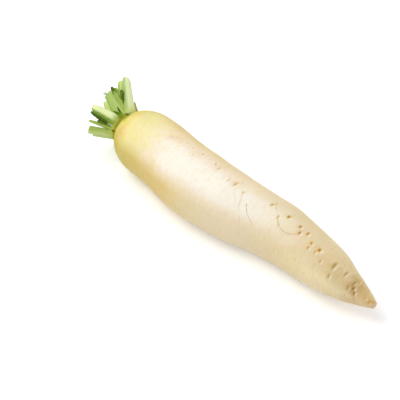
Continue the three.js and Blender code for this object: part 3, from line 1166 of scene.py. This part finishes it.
    def _cut_tip(self, angles: Array) -> Array:
        """Rounds the blunt tip with rings that close in.

        Args:
            angles: Angles of the points in a ring.

        Returns:
            The rings.
        """
        centre = self.centre(np.array(self.length))
        last = float(self.radius(np.array(self.length)))
        rings = []
        for share, ahead in self.tip_rings:
            ring = centre + outward(angles) * (last - self.inset) * share
            ring[:, 0] += ahead
            rings.append(ring)
        return np.array(rings)


# ---------------------------------------------------------------- leaf stalks


@dataclass(frozen=True)
class Stalk:
    """A cut leaf stalk, from its foot on the crown to its cut end."""

    node: str
    foot: tuple[float, float]  # ring radius, angle
    tip: tuple[float, float, float]  # height above the seat, spread, angle
    wide: tuple[float, float]  # at the foot and at the tip
    deep: tuple[float, float]
    cut: float  # how far the cut end slants across it
    tone: StalkTone
    seed: int
    rounding: float = 0.12  # how much the corners of the cut end are rounded off
    ribs: int = 5


@dataclass
class StalkCage:
    """Places points on a stalk: its centre line and the frame across it."""

    root: Root
    stalk: Stalk
    buried: float = 1.5  # how deep its foot sits in the crown
    bend_share: float = 0.45  # how much of its spread it has at half its height

    def _above_seat(self, height: float, spread: float, angle: float) -> Array:
        """Gives a point by its height above the seat, its distance from the axis and its angle."""
        seat = self.root.centre(np.array(self.root.seat_station))
        return seat + outward(angle) * spread - np.array([height, 0, 0])

    def frame(self, share: Array) -> tuple[Array, Array, Array, Array]:
        """Gives the centre, the direction along, the outer side and the width direction.

        Args:
            share: Shares of the stalk's length.

        Returns:
            Four arrays of vectors, one row for each share.
        """
        radius, foot_angle = self.stalk.foot
        height, spread, tip_angle = self.stalk.tip
        start = self._above_seat(-self.buried, radius, foot_angle)
        bend_spread = radius + self.bend_share * (spread - radius)
        bend = self._above_seat(0.5 * height, bend_spread, (foot_angle + tip_angle) / 2)
        end = self._above_seat(height, spread, tip_angle)
        t = np.asarray(share, float)[:, None]
        centre = (1 - t) ** 2 * start + 2 * t * (1 - t) * bend + t**2 * end
        along = unit((1 - t) * (bend - start) + t * (end - bend))
        outer = outward(foot_angle + (tip_angle - foot_angle) * t[:, 0])
        outer = unit(outer - along * (outer * along).sum(-1, keepdims=True))
        return centre, along, outer, np.cross(along, outer)

    def half_width(self, share: Array) -> Array:
        """Gives half the stalk's width at shares of its length."""
        return (self.stalk.wide[0] + (self.stalk.wide[1] - self.stalk.wide[0]) * share) / 2


@dataclass
class StalkMaker:
    """Builds the body of a leaf stalk with its cut end."""

    root: Root
    steps: int = 36
    sides: int = 48
    # The section, in shares of its depth, and the groove's width in half widths.
    outer_side: float = 0.65
    lips: float = 0.35
    groove_depth: float = 0.16
    groove_width: float = 0.32
    inwards: float = 0.15
    # The rings that close the cut end, which dries a little hollow: their size, and how far they lie along.
    cut_rings: tuple[tuple[float, float], ...] = (
        (0.96, 0.16), (0.85, 0.1), (0.62, -0.35), (0.36, -0.6), (0.12, -0.65),
    )  # fmt: skip
    rib_height: float = 0.014  # as a share of the size
    worn_from: float = 0.86  # the share of the length where its end starts to round off
    slant_from: float = 0.9  # the share where the slant of the cut starts

    def _section(self, width: Array, depth: Array) -> tuple[Array, Array]:
        """Draws the kidney section: a round outer side, two lips and a groove between them.

        Args:
            width: Width at each ring.
            depth: Depth at each ring.

        Returns:
            Coordinates across and outwards, each (ring, point).
        """
        turn = np.arange(self.sides) * 2 * math.pi / self.sides
        u, v = np.cos(turn), np.sin(turn)
        groove = self.groove_depth * np.exp(-((u / self.groove_width) ** 2))
        inner = self.lips * np.abs(v) ** 0.7 - groove
        outwards = np.where(v >= 0, self.outer_side * np.abs(v) ** 0.9, -inner) - self.inwards
        return width[:, None] / 2 * u, depth[:, None] * outwards

    def shell(self, stalk: Stalk) -> Shell:
        """Works out the stalk's surface.

        Args:
            stalk: The stalk.

        Returns:
            The closed shell with its measures.
        """
        rng = np.random.default_rng(stalk.seed)
        closing, hollow = np.array(self.cut_rings).T
        inset = np.concatenate([np.ones(self.steps), closing])
        sunk = np.concatenate([np.zeros(self.steps), hollow])
        share = np.concatenate([np.linspace(0, 1, self.steps), np.ones(len(closing))])
        cage = StalkCage(self.root, stalk)
        centre, along, outer, across = cage.frame(share)
        width = 2 * cage.half_width(share)
        depth = stalk.deep[0] + (stalk.deep[1] - stalk.deep[0]) * share
        u, v = self._section(width, depth)
        turn = np.arange(self.sides) * 2 * math.pi / self.sides
        phases = rng.uniform(0, 2 * math.pi, 4)
        # Ribs run along the outer side, and fainter ones along the groove.
        rib = np.cos(2 * stalk.ribs * turn + phases[0])
        rib = rib + 0.6 * np.cos(3.3 * stalk.ribs * turn + phases[1])
        rib = np.where(np.sin(turn) > -0.2, rib, 0.3 * rib)[None]
        # Slow waves in its thickness, and corners rounded off towards the cut end.
        waves = 0.035 * np.sin(6 * share + phases[2]) + 0.02 * np.sin(15 * share + phases[3])
        swell = 1 + waves[:, None] + self.rib_height * rib * np.minimum(1, 9 / width)[:, None]
        worn = np.clip((share - self.worn_from) / (1 - self.worn_from), 0, 1)
        worn = 1 - stalk.rounding * worn**2
        u, v = u * swell * (inset * worn)[:, None], v * swell * (inset * (0.4 + 0.6 * worn))[:, None]
        # The cut slants across, and is a little ragged.
        ragged = 0.3 * np.cos(2 * turn + phases[1]) + 0.2 * np.cos(5 * turn + phases[0])
        slant = stalk.cut * u / width[:, None] + ragged * inset[:, None]
        near_cut = np.clip((share - self.slant_from) / (1 - self.slant_from), 0, 1) ** 2
        lift = np.where(share >= 1, 1.0, near_cut)[:, None] * slant + sunk[:, None]
        rings = centre[:, None] + across[:, None] * u[..., None] + outer[:, None] * v[..., None]
        rings = rings + along[:, None] * lift[..., None]
        length = np.linalg.norm(np.diff(centre, axis=0), axis=-1).sum()
        around = turn * width.mean() / 2
        strand = around[None], (share * length)[:, None], float(stalk.seed)
        measures = {
            "strand": np.stack(np.broadcast_arrays(*strand), -1),
            "side": np.broadcast_to(np.cos(turn)[None], u.shape),
            "share": np.broadcast_to(share[:, None], u.shape),
            "cut": np.broadcast_to(np.clip((1 - inset) * 12, 0, 1)[:, None], u.shape),
        }
        return Shell(rings, measures)


@dataclass(frozen=True)
class Scrap:
    """A torn strip of leaf blade on a margin of a stalk."""

    node: str
    stalk: str
    side: int  # the margin that it grows on, -1 or 1
    start: float  # shares of the stalk's length
    end: float
    width: float
    lean: float  # degrees that it stands up from the stalk's width
    seed: int
    raised: float = -0.8  # how far outwards it starts
    is_flesh: bool = False  # a smooth lip of the stalk's own flesh
    is_shaded: bool = False  # painted darker, as shade under a stalk


@dataclass
class ScrapMaker:
    """Builds a strip of blade: thin, crinkled and ragged at its outer edge."""

    root: Root
    thickness: float = 0.5
    flesh_thickness: float = 0.65
    crinkle: float = 0.7
    rooted: float = 0.6  # how far it starts inside the stalk's margin
    least: float = 1.4  # added to its width everywhere
    torn: float = 0.14  # how ragged its edge is, as a share of its width
    flesh_torn: float = 0.04
    length_steps: int = 44
    width_steps: int = 9
    edge: tuple[float, ...] = (0.25, 0.85, 0.6, 1, 0.75, 0.9, 0.35)

    def shell(self, scrap: Scrap, stalk: Stalk) -> Shell:
        """Works out one strip's surface.

        Args:
            scrap: The strip's place and size.
            stalk: The stalk that it grows on.

        Returns:
            The closed shell with its measures.
        """
        rng = np.random.default_rng(scrap.seed)
        share = np.linspace(scrap.start, scrap.end, self.length_steps)
        cage = StalkCage(self.root, stalk)
        centre, along, outer, across = cage.frame(share)
        lean = math.radians(scrap.lean)
        out = across * scrap.side * math.cos(lean) + outer * math.sin(lean)
        face = np.cross(along, out)
        half = cage.half_width(share)
        margin = centre + across * (scrap.side * (half - self.rooted))[:, None] + outer * scrap.raised
        knots = np.linspace(0, 1, len(self.edge))
        t = np.linspace(0, 1, self.length_steps)
        reach = np.interp(t, knots, self.edge) * scrap.width + self.least
        tear = rng.normal(0, self.flesh_torn if scrap.is_flesh else self.torn, self.length_steps)
        reach = np.maximum(0.5, reach * (1 + np.convolve(tear, [0.25, 0.5, 0.25], "same")))
        across_share = np.linspace(0, 1, self.width_steps)
        phase = rng.uniform(0, 6)
        crinkle = 0.0 if scrap.is_flesh else self.crinkle
        t = t[:, None]
        wave = crinkle * across_share[None] * np.sin(9 * t + phase + 2 * across_share[None])
        wave = wave + crinkle * 0.35 * across_share[None] * np.sin(23 * t + 2 * phase)
        # It thins towards its edge.
        half_thick = (self.flesh_thickness if scrap.is_flesh else self.thickness) / 2
        half_thick = half_thick * (1 - 0.6 * across_share[None] ** 2)
        places = margin[:, None] + out[:, None] * (reach[:, None] * across_share[None])[..., None]
        front = places + face[:, None] * (wave + half_thick)[..., None]
        back = places + face[:, None] * (wave - half_thick)[..., None]
        rings = np.concatenate([front, back[:, ::-1]], axis=1)
        fold = np.concatenate([across_share, across_share[::-1]])
        strand = np.stack(np.broadcast_arrays(fold[None] * scrap.width, t * 20, float(scrap.seed)), -1)
        edge = np.broadcast_to(fold[None], rings.shape[:2])
        none = 0 * edge
        # Flesh takes the colour of the middle of a stalk.
        share = none + 0.5 if scrap.is_flesh else edge
        return Shell(rings, {"strand": strand, "share": share, "side": none, "cut": none})


@dataclass
class Thread:
    """A thin tapering tube along points, such as a side root or a torn string."""

    points: Array
    radius: float
    sides: int = 8
    steps: int = 40
    taper: float = 0.65
    uneven: float = 0.12  # how much its thickness varies

    def shell(self) -> Shell:
        """Works out the tube's surface.

        Returns:
            The closed shell with its measures.
        """
        at = np.linspace(0, 1, self.steps)
        line = np.stack([even(axis, at) for axis in self.points.T], -1)
        along = unit(np.gradient(line, axis=0))
        side = unit(np.cross(along, outward(np.full(self.steps, CAMERA_SIDE))))
        up = np.cross(side, along)
        radius = self.radius * (1 - self.taper * at) * (1 + self.uneven * np.sin(19 * at))
        turn = np.arange(self.sides) * 2 * math.pi / self.sides
        cosine, sine = np.cos(turn)[None, :, None], np.sin(turn)[None, :, None]
        rings = line[:, None] + radius[:, None, None] * (side[:, None] * cosine - up[:, None] * sine)
        strand = np.stack(np.broadcast_arrays(turn[None], (at * 30)[:, None], 0.0), -1)
        return Shell(rings, {"strand": strand})


@dataclass(frozen=True)
class Tuft:
    """Torn strings that stand out of the ragged end of a stalk."""

    name: str
    stalk: str
    sides: tuple[float, float]  # the part of the end that frays, across
    length: tuple[float, float]  # of the shortest and of the longest string
    count: int
    sweep: float  # how far the strings turn to the side that they stand on
    seed: int
    radius: float = 0.24


# ---------------------------------------------------------------- the crown and its leaves


@dataclass
class Crown:
    """The short stem with all that grows on it."""

    root: Root
    profile: tuple[tuple[float, float], ...] = (
        (-2.8, 16.8), (-1.4, 18.1), (0.4, 18.6), (2.4, 18.2), (4.4, 17.2), (6.2, 15.6), (8.2, 12.8),
        (10.2, 8.6), (12, 3),
    )  # fmt: skip
    # Dark arcs where old leaves broke away and, at 79 and 161 degrees, painted shade between the stalks'
    # feet:
    # angle and half width, in degrees.
    dry_and_shade_arcs: tuple[tuple[float, float], ...] = ((79, 13), (161, 2.8), (250, 16), (320, 30))
    sides: int = 132
    levels: int = 34
    lumps: tuple[float, float] = (0.5, 0.4)  # heights of the bases of old leaves
    girth_radius: float = 17.0
    leaflet_thickness: float = 0.5
    tuft_share: float = 0.98  # where on its stalk a tuft starts
    stalks: tuple[Stalk, ...] = (
        Stalk("leaf_stalk_01", (11, 51), (35, 46.9, 52), (13, 10), (11.5, 8.5), -3, StalkTone.PALE, 1, 0.4),
        Stalk(
            "leaf_stalk_06", (11.5, 118), (38, 23.5, 133), (15, 8.5), (7.5, 6.5), 3, StalkTone.LIT, 6, 0.3
        ),
        Stalk("leaf_stalk_08", (10.6, 195), (35.5, 25.5, 195), (10, 10), (7, 6.5), -4, StalkTone.GREY, 8),
        Stalk("leaf_stalk_04", (9.2, 96), (34.8, 29.2, 84), (12, 11), (6, 5), 6, StalkTone.FRESH, 4),
        Stalk("leaf_stalk_09", (11, 213), (32, 24.3, 208), (9, 8), (5, 4.5), -2, StalkTone.FRESH, 9),
        Stalk("leaf_stalk_10", (11.5, 264), (35, 23, 273), (12, 10), (7, 6), 2, StalkTone.FRESH, 10, 0.3),
        Stalk("leaf_stalk_11", (11.5, 304), (37, 27, 306), (12, 9.5), (7, 6), -3, StalkTone.PALE, 11, 0.2),
        Stalk("leaf_stalk_12", (11.5, 343), (38, 31, 340), (12, 10), (7, 6), 3, StalkTone.FRESH, 12),
        Stalk("leaf_stalk_13", (11.5, 12), (37, 34, 12), (11, 9), (7, 6), -2, StalkTone.PALE, 13, 0.35),
        Stalk("leaf_stalk_02", (6.5, 55), (42, 40.8, 50), (10, 8), (7, 6), 2, StalkTone.YELLOW, 2, 0.3),
        Stalk("leaf_stalk_03", (5, 75), (40, 31.6, 57), (9, 8), (5, 4.5), 1, StalkTone.BAND, 3),
        Stalk(
            "leaf_stalk_05", (4.5, 110), (40, 15.5, 77), (14, 8.5), (5, 4.5), -2, StalkTone.YELLOW, 5, 0.35
        ),
        Stalk("leaf_stalk_07", (9.3, 172), (40, 20.1, 177), (6, 3), (4, 2.5), 0, StalkTone.STRAP, 7),
        Stalk("leaf_stalk_14", (5, 290), (40, 12, 290), (9, 7), (5, 4), 2, StalkTone.YELLOW, 14, 0.3),
        Stalk("leaf_stalk_15", (4.5, 215), (37, 7, 220), (8, 6), (5, 4), -2, StalkTone.FRESH, 15, 0.2),
        Stalk("leaf_stalk_16", (11.5, 148), (28, 12, 165), (5, 2.5), (3, 2), 0, StalkTone.YELLOW, 16),
        Stalk("leaf_base_1", (16.5, 30), (17, 30, 33), (13, 1.5), (8, 1.5), 0, StalkTone.DRY, 17),
    )
    leaflets: tuple[Stalk, ...] = (
        Stalk("leaflet_1", (16.2, 104), (14, 23.6, 93), (3.2, 1), (1.6, 1), 0, StalkTone.FRESH, 18),
        Stalk("leaflet_2", (16.2, 101), (10.5, 24, 112), (5, 1.5), (1.8, 1), 0, StalkTone.FRESH, 19),
    )
    scraps: tuple[Scrap, ...] = (
        Scrap("stalk_wing_1", "leaf_stalk_04", 1, 0.3, 1.0, 4.2, 8, 31, 0.3, True),
        Scrap("leaf_scrap_1", "leaf_stalk_02", -1, 0.47, 0.75, 8, 58, 32),
        Scrap("leaf_scrap_2", "leaf_stalk_03", -1, 0.74, 1.0, 5.5, 20, 33, 0.8),
        Scrap("leaf_scrap_3", "leaf_stalk_06", -1, 0.4, 1.0, 2.7, 0, 34, is_shaded=True),
        Scrap("leaf_scrap_4", "leaf_stalk_07", 1, 0.48, 0.75, 2.5, 0, 35),
        Scrap("leaf_scrap_5", "leaf_stalk_12", -1, 0.5, 0.97, 5, 15, 36),
        Scrap("leaf_scrap_6", "leaf_stalk_10", -1, 0.45, 0.9, 4, 25, 37),
    )
    tufts: tuple[Tuft, ...] = (
        Tuft("frayed_strings_1", "leaf_stalk_04", (-1, -0.1), (1.5, 4.5), 11, 0.9, 41),
        Tuft("frayed_strings_2", "leaf_stalk_12", (0.1, 1), (1.5, 4), 8, 0.6, 42),
    )

    def build(self) -> None:
        """Builds the stem, then all that grows on it."""
        finishes = {tone: tone.value.build() for tone in StalkTone}
        # Leaf is deep green. The youngest is paler, and the strip in the shade of a stalk is painted darker
        # as shade.
        blade = LeafBlade().build()
        young = LeafBlade("young_leaf", "7c9a12", "a4bd3c", "4c6a0c").build()
        darkened = LeafBlade("shaded_leaf", "4c640a", "64801a", "262f04").build()
        strings = DryFibre("torn_strings", "b7c584", "8fa058").build()
        self._stem(CrownTissue().build())
        by_node = {stalk.node: stalk for stalk in self.stalks}
        maker, scrap_maker = StalkMaker(self.root), ScrapMaker(self.root)
        for stalk in self.stalks:
            slot = Slot.LEAF_BASE if stalk.tone is StalkTone.DRY else Slot.LEAF_STALK
            piece = Piece("cut_" + stalk.node, [maker.shell(stalk)], slot, (stalk.node,))
            piece.make(finishes[stalk.tone])
        for leaflet, material in zip(self.leaflets, (blade, young)):
            shell = self._leaflet(leaflet)
            Piece("young_" + leaflet.node, [shell], Slot.LEAF_BLADE, (leaflet.node,)).make(material)
        for scrap in self.scraps:
            shell = scrap_maker.shell(scrap, by_node[scrap.stalk])
            slot, material = Slot.LEAF_BLADE, darkened if scrap.is_shaded else blade
            if scrap.is_flesh:
                slot, material = Slot.LEAF_STALK, finishes[StalkTone.LIP]
            Piece("torn_" + scrap.node, [shell], slot, (scrap.node,)).make(material)
        for tuft in self.tufts:
            Piece(tuft.name, self._tuft(tuft, by_node[tuft.stalk]), Slot.LEAF_STALK).make(strings)

    def _stem(self, material: bpy.types.Material) -> bpy.types.Object:
        """Turns the stem, wrinkled by the bases of old leaves.

        Args:
            material: Its finish.

        Returns:
            The stem's object.
        """
        seat = self.root.centre(np.array(self.root.seat_station))
        at = np.linspace(0, 1, self.levels)
        height, radius = (even(held, at)[:, None] for held in np.array(self.profile).T)
        angles = np.arange(self.sides) * 360 / self.sides
        turn = np.radians(angles)[None]
        broad, fine = self.lumps
        lumps = broad * np.sin(9 * turn + 0.3 * height) + fine * np.sin(14 * turn - 0.4 * height)
        reach = np.maximum(0.5, radius + lumps * np.minimum(1, radius / 8))
        rings = seat + outward(angles)[None] * reach[..., None]
        rings[..., 0] -= height + 0.4 * lumps
        share = np.broadcast_to(np.clip((height + 1) / 8, 0, 1), reach.shape)
        around = np.broadcast_to(turn * self.girth_radius, reach.shape)
        dry_and_shade = np.zeros(self.sides)
        for middle, spread in self.dry_and_shade_arcs:
            away = (angles - middle + 180) % 360 - 180
            dry_and_shade = np.maximum(dry_and_shade, np.exp(-((away / spread) ** 2)))
        measures = {
            "strand": np.stack([around, np.broadcast_to(height, reach.shape), 0 * reach], -1),
            "share": share,
            "dry_and_shade": dry_and_shade[None] * np.clip(1.7 - share * 2.6, 0, 1),
        }
        shell = Shell(rings[::-1], {name: held[::-1] for name, held in measures.items()})
        return Piece("crown_stem", [shell], Slot.CROWN, ("crown",)).make(material)

    def _leaflet(self, leaflet: Stalk) -> Shell:
        """Works out a young leaf: a thin pointed blade, widest near its middle, with a bruised tip.

        Args:
            leaflet: Its place and size.

        Returns:
            The closed shell with its measures.
        """
        share = np.linspace(0, 1, 16)
        centre, along, outer, across = StalkCage(self.root, leaflet).frame(share)
        pointed = np.sin(math.pi * np.clip(share, 0.02, 0.98)) ** 0.6 * (1 - 0.45 * share)
        half = leaflet.wide[0] / 2 * pointed
        fold = np.linspace(-1, 1, 9)
        cup = 0.5 * np.abs(fold)[None] * half[:, None]
        places = centre[:, None] + across[:, None] * (half[:, None] * fold[None])[..., None]
        half_thick = self.leaflet_thickness / 2
        front = places + outer[:, None] * (cup + half_thick)[..., None]
        back = places + outer[:, None] * (cup - half_thick)[..., None]
        rings = np.concatenate([front, back[:, ::-1]], axis=1)
        fold = np.concatenate([fold, fold[::-1]])
        seed = float(leaflet.seed)
        strand = np.stack(np.broadcast_arrays(fold[None] * 2, (share * 12)[:, None], seed), -1)
        darkened = np.broadcast_to(np.minimum(1, 1.4 * share)[:, None], rings.shape[:2])
        return Shell(rings, {"strand": strand, "share": darkened})

    def _tuft(self, tuft: Tuft, stalk: Stalk) -> list[Shell]:
        """Works out the strings of one tuft.

        Args:
            tuft: Its place and size.
            stalk: The stalk that it stands out of.

        Returns:
            A shell for each string.
        """
        rng = np.random.default_rng(tuft.seed)
        cage = StalkCage(self.root, stalk)
        centre, along, outer, across = (rows[0] for rows in cage.frame(np.array([self.tuft_share])))
        half = float(cage.half_width(np.array(self.tuft_share)))
        shells = []
        for side in np.linspace(*tuft.sides, tuft.count):
            start = centre + across * side * half * 0.92 + outer * rng.uniform(-0.1, 0.3) * stalk.deep[1]
            length = rng.uniform(*tuft.length)
            sweep = across * np.sign(side) * tuft.sweep * rng.uniform(0.2, 1.1)
            ahead = unit(along * rng.uniform(0.5, 1.0) + sweep + outer * rng.normal(0, 0.25))
            curl = unit(ahead + rng.normal(0, 0.35, 3))
            half_way, end = start + ahead * length / 2, start + (ahead + curl) * length / 2
            points = np.array([start - along, half_way, end])
            shells.append(Thread(points, tuft.radius, 6, 12).shell())
        return shells


@dataclass
class SideRoots:
    """Thin side roots that lie against the skin."""

    root: Root
    thin: float = 0.28  # radius of the dry brown ones
    thick: float = 0.6
    lift: float = 0.02  # of the middle line above the skin
    # Node, whether it is dry and brown, and the stations and angles that it runs through.
    routes: tuple[tuple[str, bool, tuple[tuple[float, float], ...]], ...] = (
        ("rootlet_1", True, ((241, 108), (245, 118), (252, 125), (260, 125), (268, 114))),
        ("rootlet_2", True, ((210, 119), (213, 127), (218, 137), (226, 147))),
        ("rootlet_3", False, ((339, 62), (341, 89), (341, 116))),
        ("rootlet_4", True, ((232, 325), (240, 335), (250, 331), (258, 339))),
        ("rootlet_5", False, ((312, 300), (316, 312), (322, 318))),
    )

    def build(self) -> None:
        """Builds every side root."""
        brown = DryFibre("rootlet_brown", "dcb570", "c09654").build()
        pale = DryFibre("rootlet_pale", "f6e49c", "e6cc80").build()
        for node, is_brown, route in self.routes:
            station, angle = np.array(route, float).T
            points = self.root.on_skin(station, angle, self.lift)
            shell = Thread(points, self.thin if is_brown else self.thick).shell()
            Piece("thin_" + node, [shell], Slot.ROOTLET, (node,)).make(brown if is_brown else pale)


# ---------------------------------------------------------------- the studio


@dataclass
class Studio:
    """A white table under a large soft lamp, and the camera."""

    eye: tuple[float, float, float] = (673.5, -600.27, 675.9)
    looks_at: tuple[float, float, float] = (7.7, -11.17, 30.0)
    lens: float = 100.0
    ambient: float = 0.5
    key_power: float = 19.0
    key_size: tuple[float, float] = (1600.0, 1100.0)
    key_from: tuple[float, float, float] = (-850.0, -570.0, 1560.0)
    back_power: float = 3.7
    back_size: tuple[float, float] = (1200.0, 1200.0)
    back_from: tuple[float, float, float] = (500.0, 1300.0, 800.0)
    front_power: float = 2.8
    front_size: tuple[float, float] = (1200.0, 1200.0)
    front_from: tuple[float, float, float] = (1000.0, -1000.0, 500.0)
    table_side: float = 4.0  # half its width, in metres

    def build(self) -> None:
        """Builds the camera, the lamps, the world and the table."""
        self._camera()
        self._lamp("key_lamp", self.key_from, self.key_size, self.key_power)
        self._lamp("back_lamp", self.back_from, self.back_size, self.back_power)
        self._lamp("front_lamp", self.front_from, self.front_size, self.front_power)
        self._world()
        self._table()
        view = bpy.context.scene.view_settings
        view.view_transform = "Standard"

    def _aim(self, thing: bpy.types.Object, place: Sequence[float], target: Sequence[float]) -> None:
        """Puts a thing at a place and points it at a target.

        Args:
            thing: A lamp or the camera.
            place: Where it goes, in mm.
            target: Where it points, in mm.
        """
        thing.location = Vector(place) * MM
        thing.rotation_euler = (Vector(target) - Vector(place)).to_track_quat("-Z", "Y").to_euler()
        bpy.context.scene.collection.objects.link(thing)

    def _camera(self) -> None:
        """Adds the camera."""
        data = bpy.data.cameras.new("camera")
        data.lens = self.lens
        data.clip_end = 50
        camera = bpy.data.objects.new("camera", data)
        self._aim(camera, self.eye, self.looks_at)
        bpy.context.scene.camera = camera

    def _lamp(self, name: str, place: Sequence[float], size: Sequence[float], power: float) -> None:
        """Adds an oblong soft lamp aimed at the radish.

        Args:
            name: Its name.
            place: Where it hangs, in mm.
            size: Its sides, in mm.
            power: Its power in watts.
        """
        data = bpy.data.lights.new(name, "AREA")
        data.shape = "RECTANGLE"
        data.size, data.size_y = size[0] * MM, size[1] * MM
        data.energy = power
        self._aim(bpy.data.objects.new(name, data), place, (0, 0, 30))

    def _seen(self, add: Adder) -> Socket:
        """Tells whether a ray comes straight from the camera or off a shiny surface.

        Args:
            add: Adds a node to the material or the world.

        Returns:
            1 for such a ray.
        """
        camera = add("LightPath", output="Is Camera Ray")
        glossy = camera.node.outputs["Is Glossy Ray"]
        return add("Math", [camera, glossy], operation="MAXIMUM")

    def _world(self) -> None:
        """Makes an even white sky that shows as white."""
        world = bpy.data.worlds.new("studio")
        world.use_nodes = True
        world.node_tree.nodes.clear()
        add = partial(add_node, world.node_tree)
        strength = add("MapRange", {"Value": self._seen(add), "To Min": self.ambient, "To Max": 1.0})
        sky = add("Background", {"Color": "ffffff", "Strength": strength})
        add("OutputWorld", {"Surface": sky})
        bpy.context.scene.world = world

    def _table(self) -> None:
        """Makes a table of matt white paper that shows as white and keeps the shadow."""
        mesh = bpy.data.meshes.new("table")
        side = self.table_side
        corners = [(-side, -side, 0), (side, -side, 0), (side, side, 0), (-side, side, 0)]
        mesh.from_pydata(corners, [], [(0, 1, 2, 3)])
        material, add = empty_material("table_paper")
        # Beyond the lamps' reach it goes on as white as near the radish.
        away = add("VectorMath", [add("NewGeometry", output="Position")], operation="LENGTH")
        reach = add("MapRange", [away, 0.5, 1.6, 0.3, 1.0], **SMOOTH)
        glow = add("Math", [self._seen(add), reach], **PRODUCT)
        glow = add("Emission", {"Color": "ffffff", "Strength": glow})
        paper = add("BsdfDiffuse", {"Color": "f4f4f4"})
        add("OutputMaterial", [add("AddShader", [paper, glow])])
        mesh.materials.append(material)
        table = bpy.data.objects.new("table", mesh)
        bpy.context.scene.collection.objects.link(table)


def main() -> None:
    """Builds the radish and the studio."""
    logging.basicConfig(level=logging.INFO, format="%(name)s: %(message)s")
    root = Root()
    root.build(RadishSkin())
    Crown(root).build()
    SideRoots(root).build()
    Studio().build()


if __name__ == "__main__":
    main()
